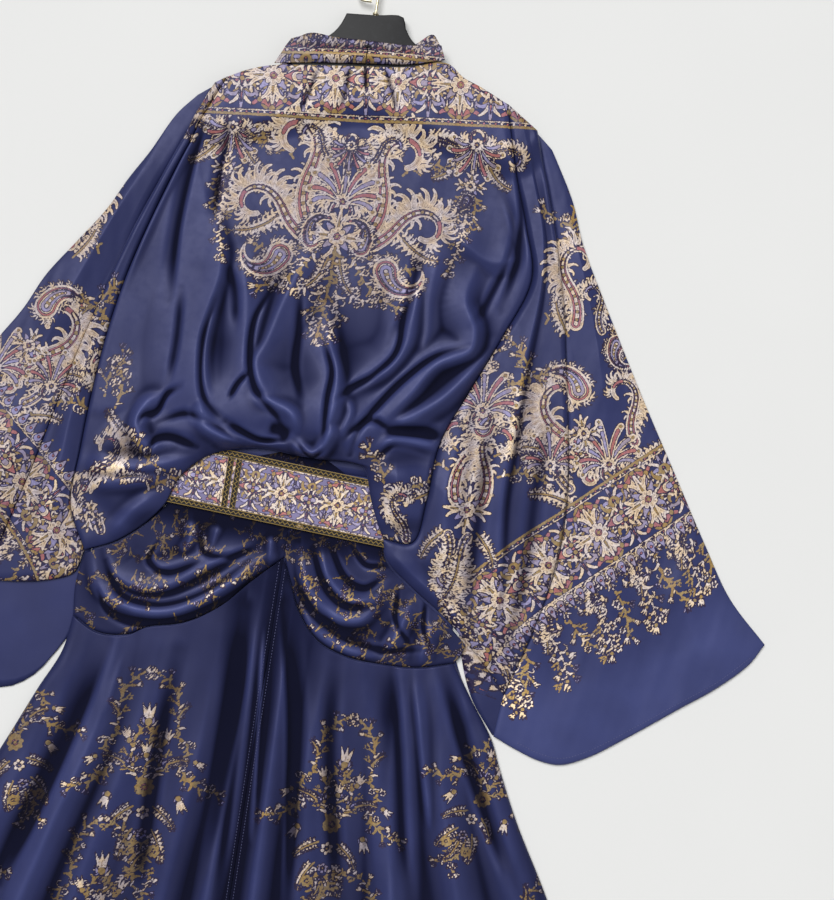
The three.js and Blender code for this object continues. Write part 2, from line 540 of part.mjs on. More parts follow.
// The hook's bar lies across the opening, just clear of the highest cloth under it.
const HOOK_BAR = { width: 3, length: 9, thick: 1.2, y: 541, clearance: 0.45 };
function highestUnder(meshes, x, y, halfX, halfY) {
  const hits = [-1, 0, 1].flatMap((i) => [-1, 0, 1].flatMap((j) => {
    const from = new THREE.Vector3(x + i * halfX, y + j * halfY, 1000);
    return new THREE.Raycaster(from, new THREE.Vector3(0, 0, -1)).intersectObjects(meshes);
  }));
  return Math.max(...hits.map((hit) => hit.point.z));
}
const collars = dress.children.filter(({ name }) => name.startsWith('collar_back'));
const hookSeat = highestUnder(collars, COLLAR_SLIT, HOOK_BAR.y, HOOK_BAR.length / 2, HOOK_BAR.width / 2);
const hookBar = new THREE.BoxGeometry(HOOK_BAR.length, HOOK_BAR.width, HOOK_BAR.thick);
hookBar.translate(COLLAR_SLIT, HOOK_BAR.y, hookSeat + HOOK_BAR.clearance + HOOK_BAR.thick / 2);
addMesh('neck_hook', hookBar, PLASTIC);

// ---- belt ----
const BELT = { left: -172, right: 150, height: 76, slope: -0.052, middle: 0 };
const beltY = (x, across) => BELT.middle + BELT.slope * x + across;
function beltStrip(left, right, low, high) {
  return [[left, low], [right, low], [right, high], [left, high]]
    .map(([x, across]) => new THREE.Vector2(x, beltY(x, across)));
}
const HALF = BELT.height / 2;
const BRAID_WIDTH = 8;
const UPRIGHTS = [-79, -69];
const UPRIGHT_WIDTH = 7;
addPlate('belt_back', PRINTED, beltStrip(BELT.left, BELT.right, -HALF, HALF), BELT_FLOOR, BELT_THICK);
const braidBase = BELT_TOP + LAYER_GAP;
addPlate('braid_lower', GOLD_BRAID, beltStrip(BELT.left, BELT.right, -HALF, BRAID_WIDTH - HALF),
  braidBase, BRAID_THICK);
addPlate('braid_upper', GOLD_BRAID, beltStrip(BELT.left, BELT.right, HALF - BRAID_WIDTH, HALF),
  braidBase, BRAID_THICK);
UPRIGHTS.forEach((x, i) => {
  const inner = HALF - BRAID_WIDTH - LAYER_GAP;
  addPlate(`braid_upright_${i + 1}`, GOLD_BRAID, beltStrip(x, x + UPRIGHT_WIDTH, -inner, inner),
    braidBase, BRAID_THICK);
});

// ---- hanger ----
const HANGER_OUTLINE = [[-22, 578], [12, 581], [45, 584], [51, 570], [60, 558], [72, 550], [90, 536],
  [120, 508], [150, 492], [184, 484], [190, 470], [180, 459], [120, 478], [60, 494], [12, 498],
  [-40, 488], [-95, 468], [-146, 446], [-156, 452], [-154, 464], [-120, 476], [-90, 494],
  [-66, 522], [-48, 541], [-35, 552], [-27, 564]];
addPlate('hanger', PLASTIC, HANGER_OUTLINE.map(([x, y]) => new THREE.Vector2(x, y)),
  HANGER_FLOOR, HANGER_THICK, 1.5);

const hookRoute = new THREE.CatmullRomCurve3([
  [12, 581.35], [12, 596], [12, 612], [11, 630], [2, 642], [-12, 642], [-22, 631], [-21, 616],
  [-11, 604], [-9, 599], [-4, 597.5], [5, 597.5],
].map(([x, y]) => new THREE.Vector3(x, y, HANGER_FLOOR + HANGER_THICK / 2)), false, 'centripetal');
const wire = new THREE.Shape();
wire.absarc(0, 0, WIRE_RADIUS, 0, Math.PI * 2, false);
addMesh('hanger_hook', new THREE.ExtrudeGeometry(wire, {
  extrudePath: hookRoute, steps: 40, curveSegments: 4, bevelEnabled: false,
}), GOLD_WIRE);

export default dress;
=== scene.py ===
"""A long satin dress with batwing sleeves, laid flat on its front, its hanger still in the neck.

The table names and the numbers are millimetres in the model's own frame: +X to the right sleeve
as the back is seen, +Y from the belt to the neck, +Z up from the surface.
"""

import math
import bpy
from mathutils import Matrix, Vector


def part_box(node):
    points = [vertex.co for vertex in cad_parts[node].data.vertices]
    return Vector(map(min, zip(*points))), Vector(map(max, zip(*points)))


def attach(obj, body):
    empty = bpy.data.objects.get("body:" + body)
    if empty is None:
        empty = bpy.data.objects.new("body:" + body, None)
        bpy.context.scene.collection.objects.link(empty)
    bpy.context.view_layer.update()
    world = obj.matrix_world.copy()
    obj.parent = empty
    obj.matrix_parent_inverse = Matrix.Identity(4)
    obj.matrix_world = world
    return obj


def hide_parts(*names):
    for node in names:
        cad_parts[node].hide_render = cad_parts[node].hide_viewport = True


bl_info = {
    "name": "Batwing sleeve dress",
    "version": (1, 0, 0),
    "blender": (4, 5, 0),
    "location": "View3D > Sidebar > Dress",
    "description": "Makes a printed satin dress, laid flat with its hanger",
    "category": "Object",
}

import bmesh
import bpy
import numpy as np
from bpy.props import FloatProperty, FloatVectorProperty, PointerProperty
from mathutils import Matrix, Vector

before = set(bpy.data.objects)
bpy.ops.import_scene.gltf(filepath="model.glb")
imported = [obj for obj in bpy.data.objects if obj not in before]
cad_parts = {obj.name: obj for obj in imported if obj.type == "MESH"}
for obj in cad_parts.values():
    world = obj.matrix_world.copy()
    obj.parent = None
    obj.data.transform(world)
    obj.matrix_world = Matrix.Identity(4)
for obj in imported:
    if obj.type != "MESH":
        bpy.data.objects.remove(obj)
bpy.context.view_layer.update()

MM = 0.001
WALL = 1.6  # thickness of the cloth
LOWEST_FLOOR = -0.1  # underside of the skirt's and the belt's fronts
FRONT_FLOOR = 0.3  # underside of the other front panels
BACK_FLOOR = 1.95  # underside of the panels that lie on the front panels
YOKE_FLOOR = 4.0  # underside of the bodice and the drapes, which lie on the hip yoke
BELT_FLOOR = 4.9
BRAID_TOP = 7.95
HANGER_FLOOR = 3.9
HANGER_THICK = 10.0
HANGER_TOP = HANGER_FLOOR + HANGER_THICK
HANGER_ROUND = 1.6  # how far the hanger's edges are rounded
LAYER_GAP = 0.35  # room left between a layer and the cover that lifts it

# ---- seams and edges, each from the neck towards the hem or from the left to the right ----
EDGES = {
    "left_seam": [[-150, 481], [-176, 418], [-199, 353], [-219, 287], [-236, 220], [-247, 152],
      [-253, 84], [-256, 15], [-257, -52], [-232, -104]],
    "right_seam": [[184, 501], [205, 430], [230, 360], [246, 300], [222, 226], [193, 155], [168, 88],
      [163, 20], [154, -33], [118, -34]],
    "neck": [[-150, 481], [-128, 493], [-100, 503], [-50, 511], [10, 519], [60, 526], [105, 538],
      [128, 524], [150, 516], [184, 501]],
    "blouse": [[-232, -104], [-195, -86], [-165, -60], [-144, -32], [-136, -6], [-122, 14], [-100, 33],
      [-75, 43], [-40, 50], [0, 48], [32, 48], [62, 50], [81, 47], [89, 33], [95, 14], [106, -12],
      [118, -34]],
    "left_pleat": [[-164, 471], [-190, 408], [-214, 343], [-237, 277], [-257, 208], [-275, 140],
      [-291, 70], [-306, 0], [-325, -76], [-345, -158]],
    "left_drape_hem": [[-345, -158], [-300, -153], [-265, -145], [-240, -132], [-232, -104]],
    "left_outline": [[-184, 456], [-205, 430], [-230, 380], [-250, 345], [-270, 305], [-300, 260],
      [-330, 215], [-350, 172], [-372, 136], [-420, 60], [-480, -34], [-545, -130]],
    "left_cuff": [[-545, -130], [-500, -190], [-440, -235], [-390, -265], [-352, -281]],
    "left_cuff_start": [[-345, -158], [-350, -215], [-352, -281]],
    "right_pleat": [[224, 475], [248, 412], [270, 345], [288, 280], [303, 205], [317, 130],
      [328, 55], [329, -25], [314, -112], [290, -197]],
    "right_drape_hem": [[118, -34], [126, -58], [160, -86], [205, -116], [240, -146], [262, -166],
      [290, -197]],
    "right_outline": [[246, 457], [256, 441], [280, 400], [300, 352], [340, 281], [370, 230],
      [400, 180], [450, 100], [500, 20], [540, -40], [590, -88]],
    "right_cuff": [[285, -247], [315, -259], [345, -268], [370, -269], [400, -256], [450, -220],
      [500, -181], [540, -150], [575, -115], [590, -88]],
    "right_cuff_start": [[290, -197], [287, -222], [285, -247]],
    "yoke_left_top": [[-232, -106], [-195, -88], [-165, -62], [-144, -34], [-128, -10], [-104, 16],
      [-60, 36], [-20, 50], [5, 60]],
    "yoke_left_hem": [[-234, -182], [-200, -198], [-165, -195], [-145, -183], [-100, -170],
      [-60, -143], [-30, -110], [5, -75]],
    "yoke_right_top": [[5, 60], [40, 48], [78, 24], [100, -6], [117, -35], [126, -60], [160, -88],
      [205, -118], [236, -144]],
    "yoke_right_hem": [[5, -75], [18, -105], [32, -135], [60, -167], [100, -181], [148, -183],
      [185, -180], [226, -168]],
    "skirt_left_outline": [[-234, -182], [-240, -225], [-262, -275], [-285, -330], [-300, -365],
      [-385, -570], [-469, -760]],
    "skirt_right_outline": [[226, -168], [256, -212], [285, -252], [300, -285], [330, -345],
      [380, -430], [470, -605], [552, -760]],
    "skirt_left_hem": [[-469, -760], [-380, -793], [-240, -820], [-110, -832], [5, -835]],
    "skirt_right_hem": [[5, -835], [130, -832], [290, -818], [430, -792], [552, -760]],
}

# ---- folds: each swells the cloth by rise along its path, over lhs mm to the left of someone
# walking the path and rhs mm to the right, and fades out at both ends ----
BODICE_FOLDS = [
    (15, 95, 60, [[-190, 70], [-100, 82], [0, 86], [90, 84], [165, 78]]),
    (10, 12, 48, [[-150, 330], [-122, 262], [-129, 200], [-129, 140], [-112, 85]]),
    (8, 20, 20, [[-108, 290], [-88, 230], [-80, 170], [-72, 105]]),
    (9, 30, 14, [[-20, 300], [-42, 230], [-54, 180], [-64, 148], [-46, 118], [-8, 98]]),
    (11, 13, 34, [[8, 225], [22, 178], [36, 146], [37, 108], [26, 66]]),
    (9, 15, 28, [[108, 310], [113, 250], [112, 200], [94, 168], [60, 149], [36, 132]]),
    (14, 14, 30, [[178, 305], [172, 262], [188, 228], [186, 203], [150, 180], [122, 137], [88, 92]]),
    (11, 16, 15, [[214, 212], [192, 180], [160, 140], [120, 108], [92, 92]]),
    (5, 30, 15, [[132, 350], [165, 325], [200, 312], [242, 332]]),
    (6, 17, 17, [[130, 335], [128, 260], [132, 205], [112, 158]]),
    (9, 13, 13, [[-160, 100], [-184, 82], [-191, 58], [-178, 34], [-150, 34]]),
    (9, 12, 14, [[-122, 104], [-112, 72], [-90, 58], [-60, 52]]),
    (9, 12, 12, [[-66, 112], [-34, 106], [-10, 96], [0, 74]]),
    (10, 12, 12, [[-6, 72], [8, 56], [24, 55], [36, 76], [38, 104]]),
    (9, 10, 12, [[94, 70], [114, 84], [166, 86]]),
    (-7, 14, 14, [[-38, 78], [-22, 74], [-8, 68]]),
    (-9, 12, 12, [[98, 96], [135, 97], [168, 98]]),
    (9, 36, 34, [[118, 66], [126, 30], [140, -22]]),
    (7, 16, 14, [[-252, 4], [-205, 2], [-160, 12], [-116, 30]]),
    (5, 10, 12, [[-240, -22], [-190, -12], [-144, 2]]),
    (6, 14, 14, [[-206, -82], [-180, -46], [-150, -18]]),
    (7, 13, 10, [[-162, 462], [-192, 385], [-222, 295], [-243, 210]]),
    (-4, 10, 10, [[-172, 470], [-196, 395], [-214, 330]]),
    (8, 12, 22, [[195, 470], [222, 400], [244, 335], [252, 270]]),
]

DRAPE_FOLDS = [
    (8, 6, 40, [[206, 478], [226, 425], [250, 355], [258, 290], [253, 190], [252, 100], [252, 30],
     [262, -60], [266, -150]]),
    (7, 13, 13, [[226, 462], [250, 398], [268, 345], [280, 290]]),
    (6, 8, 34, [[250, 440], [274, 370], [300, 285], [314, 180], [326, 80], [326, -10], [312, -100]]),
    (6, 20, 18, [[192, 130], [184, 50], [192, -20], [204, -95]]),
    (-4, 14, 14, [[222, 140], [226, 50], [228, -40], [232, -120]]),
    (-4, 16, 14, [[292, 150], [290, 60], [292, -40], [286, -150]]),
    (4, 14, 10, [[130, -46], [160, -70], [205, -100], [250, -140]]),
    (7, 22, 8, [[-170, 455], [-204, 375], [-236, 300], [-262, 220], [-286, 120], [-302, 30]]),
    (5, 16, 16, [[-250, 190], [-268, 90], [-276, 0], [-285, -110]]),
]

SLEEVE_FOLDS = [
    (5, 18, 20, [[268, 410], [300, 330], [330, 250], [360, 150]]),
    (4, 60, 50, [[400, 40], [392, -80], [375, -250]]),
    (4, 40, 50, [[470, 0], [500, -80], [540, -140]]),
    (6, 20, 22, [[-215, 400], [-262, 290], [-300, 190], [-330, 90]]),
    (5, 26, 40, [[-330, 90], [-345, 0], [-370, -120], [-385, -240]]),
    (4, 36, 40, [[-400, 60], [-440, -60], [-470, -190]]),
]

YOKE_FOLDS = [
    (10, 26, 9, [[-208, -96], [-192, -124], [-162, -137], [-128, -131], [-84, -100], [-30, -58]]),
    (11, 20, 10, [[-222, -104], [-206, -146], [-165, -163], [-116, -158], [-66, -126], [-30, -92],
     [-2, -56]]),
    (6, 14, 12, [[-170, -104], [-150, -112], [-110, -96], [-60, -60]]),
    (6, 10, 10, [[-112, -44], [-108, -70], [-118, -92]]),
    (5, 10, 10, [[-78, -46], [-82, -80]]),
    (6, 9, 9, [[-14, -48], [-10, -86]]),
    (11, 17, 9, [[24, -60], [38, -104], [72, -134], [108, -134], [130, -104]]),
    (10, 14, 9, [[46, -52], [62, -90], [90, -112], [120, -108], [131, -92]]),
    (8, 16, 10, [[28, -118], [52, -152], [96, -172], [140, -168]]),
    (9, 13, 13, [[164, -104], [156, -136], [142, -172]]),
    (5, 14, 12, [[196, -120], [188, -150], [186, -180]]),
]

SKIRT_FOLDS = [
    (12, 17, 18, [[-12, -96], [-16, -300], [-22, -500], [-42, -850]]),
    (12, 20, 17, [[24, -120], [30, -320], [34, -500], [52, -850]]),
    (6, 24, 26, [[-54, -170], [-62, -350], [-84, -560], [-120, -860]]),
    (6, 26, 24, [[76, -190], [70, -350], [98, -560], [130, -860]]),
    (13, 22, 30, [[-178, -205], [-182, -300], [-222, -450], [-318, -830]]),
    (6, 24, 22, [[-126, -200], [-140, -320], [-180, -520], [-216, -850]]),
    (6, 22, 22, [[-248, -300], [-290, -450], [-392, -800]]),
    (13, 26, 22, [[158, -192], [174, -320], [196, -460], [262, -850]]),
    (9, 24, 22, [[212, -200], [238, -330], [290, -500], [380, -830]]),
    (7, 20, 22, [[258, -262], [300, -350], [372, -500], [478, -800]]),
]

COLLAR_FOLDS = [
    (5, 9, 8, [[-92, 519], [-40, 524], [10, 530], [60, 536], [100, 546]]),
]

# Sharper creases and small folds that the solids do not have.
BODICE_CREASES = [
    (-7, 4, 5, [[-123, 217], [-130, 169], [-123, 114], [-112, 92], [-87, 76]]),
    (-7, 5, 4, [[-61, 239], [-74, 201], [-71, 150], [-55, 114], [-29, 91], [-14, 68]]),
    (-8, 4, 5, [[9, 202], [18, 179], [28, 154], [28, 120], [31, 66]]),
    (-7, 5, 4, [[101, 244], [99, 188], [77, 158], [52, 137], [34, 117]]),
    (-8, 4, 6, [[185, 208], [148, 191], [115, 158], [88, 121], [71, 90], [65, 59]]),
    (-7, 4, 4, [[-188, 49], [-188, 66], [-172, 74], [-162, 97], [-147, 108]]),
    (-7, 4, 5, [[-173, 19], [-169, 39], [-153, 47], [-116, 40]]),
    (-8, 5, 5, [[-87, 76], [-65, 66], [-44, 60], [-16, 64]]),
    (-6, 4, 4, [[-3, 66], [20, 49], [35, 64]]),
    (-6, 4, 4, [[-88, 102], [-80, 123], [-68, 139]]),
    (-7, 4, 4, [[95, 60], [116, 80], [166, 79]]),
    (-3, 7, 7, [[-26, 257], [-20, 197], [-16, 149], [0, 109]]),
    (-3, 8, 6, [[-166, 223], [-162, 163], [-163, 108]]),
    (-6, 5, 4, [[-168, 63], [-134, 77], [-101, 68], [-69, 55]]),
    (-3, 6, 10, [[-117, 265], [-102, 233], [-93, 186]]),
    (-3, 10, 6, [[192, 401], [217, 349], [198, 268], [182, 229]]),
    (-6, 5, 5, [[55, 76], [66, 92], [83, 104], [109, 96]]),
    (3, 5, 8, [[-141, 93], [-125, 71], [-91, 52]]),
    (4, 6, 8, [[-56, 141], [-42, 111], [-12, 89]]),
    (4, 5, 9, [[46, 129], [58, 112], [49, 75]]),
    (-7, 3, 3, [[8, 530], [11, 512], [16, 487]]),
    (-4, 5, 7, [[-7, 522], [-8, 491], [-10, 459]]),
    (-4, 7, 5, [[31, 526], [44, 497], [57, 467]]),
    (-4, 5, 6, [[-43, 514], [-50, 482], [-59, 446]]),
    (-5, 6, 16, [[-165, 444], [-177, 367], [-181, 281], [-176, 209]]),
    (-4, 6, 14, [[-136, 444], [-142, 372], [-140, 300]]),
    (-5, 14, 6, [[187, 473], [215, 405], [224, 333], [214, 259]]),
    (-4, 10, 10, [[108, 315], [106, 254], [93, 197]]),
]
SKIRT_CREASES = [
    (-8, 14, 30, [[-30, -138], [-21, -252], [-16, -373], [-14, -494]]),
    (-7, 22, 9, [[13, -126], [41, -243], [60, -361], [76, -480]]),
    (-9, 14, 34, [[145, -165], [174, -282], [199, -400], [216, -458]]),
    (-8, 12, 30, [[-186, -206], [-209, -306], [-240, -421], [-269, -510]]),
    (-5, 16, 16, [[84, -187], [93, -283], [117, -401], [135, -471]]),
    (-5, 16, 16, [[-101, -204], [-108, -315], [-106, -436], [-102, -508]]),
    (-7, 16, 12, [[209, -167], [250, -258], [302, -359], [349, -437]]),
    (9, 7, 12, [[-9, -129], [5, -248], [17, -368], [29, -488]]),
    (8, 16, 7, [[180, -184], [204, -277], [235, -394]]),
    (6, 10, 20, [[-165, -202], [-178, -302], [-203, -403], [-224, -503]]),
]
YOKE_CREASES = [
    (-6, 4, 5, [[-204, -111], [-181, -147], [-134, -154], [-83, -131], [-35, -85]]),
    (-6, 4, 5, [[-215, -131], [-189, -172], [-130, -175], [-68, -146], [-19, -97]]),
    (-5, 4, 4, [[-146, -78], [-154, -103], [-130, -114], [-89, -93]]),
    (-5, 4, 4, [[-99, -63], [-89, -83], [-62, -84], [-30, -69]]),
    (-6, 5, 4, [[36, -59], [63, -105], [94, -120], [121, -106]]),
    (-6, 5, 4, [[57, -52], [82, -88], [105, -96], [125, -81]]),
    (-5, 4, 4, [[83, -48], [103, -68], [127, -66]]),
    (-5, 5, 4, [[53, -119], [83, -153], [126, -166], [183, -159]]),
    (-5, 4, 4, [[146, -92], [149, -128], [171, -156]]),
    (-4, 4, 4, [[180, -99], [184, -135], [198, -159]]),
    (4, 5, 9, [[-178, -102], [-149, -132], [-101, -117], [-60, -84]]),
    (4, 6, 6, [[22, -61], [30, -82], [44, -108]]),
]

# What a panel lies over: the top of it, half the width that stays level, the width of the slope.
HANGER_COVER = (HANGER_TOP + LAYER_GAP, 34, 34, [[-156, 458], [-80, 486], [12, 512], [100, 498], [188, 476]])
BELT_COVER = (BRAID_TOP + LAYER_GAP, 48, 26, [[-175, 6], [-20, 0], [150, -6]])


# ---- lines ----
class Route:
    """A smooth line through points, with its places by share of its length or by its points."""

    STEPS = 24

    def __init__(self, points):
        stops = np.array(points, float)
        if len(stops) == 2:
            self.line = stops
            self.pace = np.array([0.0, 1.0])
        else:
            ends = np.vstack([2 * stops[0] - stops[1], stops, 2 * stops[-1] - stops[-2]])
            gaps = np.sqrt(np.linalg.norm(np.diff(ends, axis=0), axis=1))
            share = (np.arange(self.STEPS) / self.STEPS)[:, None]
            spans = []
            for i in range(len(stops) - 1):
                p0, p1, p2, p3 = ends[i : i + 4]
                d0, d1, d2 = gaps[i : i + 3]
                leave = ((p1 - p0) / d0 - (p2 - p0) / (d0 + d1) + (p2 - p1) / d1) * d1
                reach = ((p2 - p1) / d1 - (p3 - p1) / (d1 + d2) + (p3 - p2) / d2) * d1
                square = -3 * p1 + 3 * p2 - 2 * leave - reach
                cube = 2 * p1 - 2 * p2 + leave + reach
                spans.append(p1 + leave * share + square * share**2 + cube * share**3)
            self.line = np.vstack([*spans, stops[-1:]])
            self.pace = np.linspace(0, 1, len(self.line))
        length = np.cumsum(np.linalg.norm(np.diff(self.line, axis=0), axis=1))
        self.length = length[-1]
        self.run = np.concatenate([[0], length]) / self.length

    def _read(self, scale, share):
        return np.stack([np.interp(share, scale, self.line[:, k]) for k in (0, 1)], axis=-1)

    def at(self, share):
        return self._read(self.run, share)

    def paced(self, share):
        return self._read(self.pace, share)


def plan(top, bottom, left, right, across, down, hold=(1, 4), paced=False):
    """Plan places over a four-sided panel, rows by columns, from shares across and down. hold says
    how fast the bows of the sides, then of the top and bottom, die out towards the other edge."""
    t, b, l, r = (Route(line) for line in (top, bottom, left, right))
    side = Route.paced if paced else Route.at

    def bow(line, share, along):
        first, last = along(line, 0.0), along(line, 1.0)
        return along(line, share) - np.outer(1 - share, first) - np.outer(share, last)

    u, v = across[None, :, None], down[:, None, None]
    place = (1 - v) * ((1 - u) * t.at(0.0) + u * t.at(1.0)) + v * ((1 - u) * b.at(0.0) + u * b.at(1.0))
    place = place + bow(l, down, side)[:, None] * (1 - u) ** hold[0]
    place = place + bow(r, down, side)[:, None] * u ** hold[0]
    place = place + bow(t, across, Route.at)[None] * (1 - v) ** hold[1]
    return place + bow(b, across, Route.at)[None] * v ** hold[1]


# ---- folds ----
FOLD_STEPS = 48
FADE = 0.3  # share of the path over which a fold rises
FADED = 0.15  # share of its height that a fold has at its ends
BROAD = 50  # mm; a fold wider than this is a swelling
WAVES = ((70, 0.35, 3), (34, 0.14, 4), (18, 0.05, 4))  # of lain satin: length and height in mm, how many
# NEAR_SHADE and CRISP set the widths over which the painted shade of creases is read
NEAR_SHADE = 6  # mm from which a fold's nearer shade comes
CRISP = 2  # mesh cells to either side of a crease that its sharpest shade is read from


def swell(t):
    """A soft hump: 1 at 0, level at both ends, and nothing from 1 on."""
    return np.where(t >= 1, 0.0, 0.5 + 0.5 * np.cos(np.pi * np.minimum(t, 1)))


def smoothstep(t, low, high):
    """From 0 at low to 1 at high, level at both."""
    s = np.clip((t - low) / (high - low), 0, 1)
    return s * s * (3 - 2 * s)


def nearest(line, x, y):
    """Distance from a line, the side of it, positive to the left, and the share along it."""
    best = np.full(x.shape, np.inf)
    side = np.ones(x.shape)
    share = np.zeros(x.shape)
    for i in range(len(line) - 1):
        (ax, ay), (bx, by) = line[i], line[i + 1]
        dx, dy = bx - ax, by - ay
        along = np.clip(((x - ax) * dx + (y - ay) * dy) / (dx * dx + dy * dy), 0, 1)
        px, py = x - ax - along * dx, y - ay - along * dy
        distance = np.hypot(px, py)
        nearer = distance < best
        best = np.where(nearer, distance, best)
        side = np.where(nearer, dx * py - dy * px, side)
        share = np.where(nearer, (i + along) / (len(line) - 1), share)
    return best, side, share


def within(line, x, y, reach):
    """Which places lie in the box about a line, with reach mm round it."""
    low, high = line.min(axis=0) - reach, line.max(axis=0) + reach
    return (x > low[0]) & (x < high[0]) & (y > low[1]) & (y < high[1])


def folded_by(rows, x, y):
    """The rise of folds. Each is a ridge with plain slopes, and where two meet the higher lies
    over the other. Broad swellings and hollows add up."""
    swollen, ridges = np.zeros(x.shape), np.zeros(x.shape)
    for height, lhs, rhs, path in rows:
        line = Route(path).at(np.linspace(0, 1, FOLD_STEPS + 1))
        near = within(line, x, y, 1.5 * max(lhs, rhs))
        distance, side, share = nearest(line, x[near], y[near])
        reach = np.where(side > 0, lhs, rhs)
        fade = height * (FADED + (1 - FADED) * smoothstep(np.minimum(share, 1 - share), 0, FADE))
        if height < 0 or max(lhs, rhs) > BROAD:
            swollen[near] += fade * swell(distance / reach)
        else:
            slope = np.where(reach > 16, 1.45, 1.1) * reach
            ridges[near] = np.maximum(ridges[near], fade * np.maximum(0, 1 - distance / slope) ** 1.1)
    return swollen + ridges


def blurred(z, cells):
    """The heights of a grid, each averaged with its neighbours."""
    for axis in (0, 1):
        ends = [(0, 0), (0, 0)]
        ends[axis] = (cells + 1, cells)
        total = np.cumsum(np.pad(z, ends, mode="edge"), axis=axis)
        count = total.shape[axis]
        far, close = range(2 * cells + 1, count), range(count - 2 * cells - 1)
        z = (np.take(total, far, axis) - np.take(total, close, axis)) / (2 * cells + 1)
    return z


def covered_by(covers, floor, x, y):
    """The underside of a panel: its floor, lifted where it lies over the covers."""
    level = np.full(x.shape, float(floor))
    for top, flat, slope, path in covers:
        line = Route(path).at(np.linspace(0, 1, FOLD_STEPS + 1))
        distance, _, _ = nearest(line, x, y)
        beyond = np.maximum(0, distance - flat) / slope
        level = np.maximum(level, floor + (top - floor) * swell(beyond))
    return level


def quarter_round(distance, width):
    """How a free edge rolls down over its last width mm: 0 at the edge, 1 from there on."""
    if not width:
        return 1.0
    return np.sqrt(1 - (1 - np.minimum(distance / width, 1)) ** 2)


def wobble(x, y, seed, waves):
    """The slight unevenness of satin that has lain in folds, longer down the cloth than across:
    waves of (length, height) mm and how many of them."""
    rng = np.random.default_rng(seed)
    rise = np.zeros(x.shape)
    for length, height, count in waves:
        for _ in range(count):
            turn, phase = rng.uniform(0, 2 * np.pi, 2)
            stretch = rng.uniform(0.8, 1.25) * 2 * np.pi / length
            rise += height * np.sin(stretch * (x * np.cos(turn) + 0.35 * y * np.sin(turn)) + phase)
    return rise


# ---- printed ornament ----
INKS = ("violet", "rose", "cream", "gold")
EMPTY = -9.0
OUTLINE = 0.6  # mm of dark line round each printed shape


class Print:
    """Ornament as the distance inside each ink's outline, in mm, on a raster of plan places."""

    def __init__(self, left, low, right, high, step):
        self.left, self.low, self.step = left, low, step
        shape = (int((high - low) / step) + 2, int((right - left) / step) + 2)
        self.inks = {ink: np.full(shape, EMPTY, np.float32) for ink in INKS}

    def _window(self, points, reach):
        rows, columns = next(iter(self.inks.values())).shape
        i0, j0 = ((points.min(axis=0) - reach - (self.left, self.low)) / self.step).astype(int)
        i1, j1 = ((points.max(axis=0) + reach - (self.left, self.low)) / self.step).astype(int) + 2
        i0, i1 = np.clip([i0, i1], 0, columns)
        j0, j1 = np.clip([j0, j1], 0, rows)
        x = self.left + self.step * np.arange(i0, i1)[None, :]
        y = self.low + self.step * np.arange(j0, j1)[:, None]
        return (slice(j0, j1), slice(i0, i1)), x, y

    def stroke(self, ink, points, start, end):
        """A line whose half width goes from start to end, printed over what lies under it."""
        points = np.asarray(points, float)
        radii = np.linspace(start, end, len(points))
        window, x, y = self._window(points, max(start, end) + 2.0)
        if not x.size or not y.size:
            return
        depth = np.full((y.size, x.size), EMPTY, np.float32)
        for a, b, ra, rb in zip(points[:-1], points[1:], radii[:-1], radii[1:]):
            reach = max(ra, rb) + 2.0
            i = np.searchsorted(x[0], (min(a[0], b[0]) - reach, max(a[0], b[0]) + reach))
            j = np.searchsorted(y[:, 0], (min(a[1], b[1]) - reach, max(a[1], b[1]) + reach))
            near = (slice(*j), slice(*i))
            px, py = x[:, near[1]] - a[0], y[near[0]] - a[1]
            dx, dy = b - a
            along = np.clip((px * dx + py * dy) / max(dx * dx + dy * dy, 1e-6), 0, 1)
            inside = ra + (rb - ra) * along - np.hypot(px - along * dx, py - along * dy)
            depth[near] = np.maximum(depth[near], inside)
        over = depth > -OUTLINE
        for other, field in self.inks.items():
            part = field[window]
            if other == ink:
                field[window] = np.where(over, depth, np.maximum(part, depth))
            else:
                field[window] = np.where(over, np.minimum(part, -depth - 0.9), part)

    def read(self, ink, x, y):
        field = self.inks[ink]
        across, up = (x - self.left) / self.step, (y - self.low) / self.step
        i = np.clip(across, 0, field.shape[1] - 1.001)
        j = np.clip(up, 0, field.shape[0] - 1.001)
        i0, j0 = i.astype(int), j.astype(int)
        u, v = i - i0, j - j0
        low = field[j0, i0] * (1 - u) + field[j0, i0 + 1] * u
        high = field[j0 + 1, i0] * (1 - u) + field[j0 + 1, i0 + 1] * u
        return np.where((i == across) & (j == up), low * (1 - v) + high * v, EMPTY)


class Pen:
    """Draws motifs about a place of their own: turned, sized in mm and mirrored."""

    def __init__(self, sheet, x, y, angle=0.0, size=1.0, flip=1):
        self.sheet, self.origin, self.size, self.flip = sheet, np.array([x, y], float), size, flip
        self.turn = math.radians(angle)

    def place(self, points):
        points = np.atleast_2d(np.asarray(points, float)) * (self.flip * self.size, self.size)
        c, s = math.cos(self.turn), math.sin(self.turn)
        return points @ np.array([[c, s], [-s, c]]) + self.origin

    def line(self, ink, points, start, end=None):
        end = start if end is None else end
        self.sheet.stroke(ink, self.place(points), start * self.size, end * self.size)

    def dot(self, ink, x, y, radius):
        self.line(ink, [(x, y), (x + 0.01, y)], radius)

    def at(self, x, y, angle=0.0, size=1.0, flip=1):
        (px, py), = self.place([(x, y)])
        other = Pen(self.sheet, px, py, 0, self.size * size, self.flip * flip)
        other.turn = self.turn + self.flip * math.radians(angle)
        return other


def volute(length, turn, tighten=1.6, count=22):
    """A line that sets out along +y and curls to the right ever more tightly."""
    share = np.linspace(0, 1, count)
    heading = np.pi / 2 - turn * share**tighten
    steps = np.stack([np.cos(heading), np.sin(heading)], axis=1) * length / (count - 1)
    return np.vstack([[0, 0], np.cumsum(steps[:-1], axis=0)])


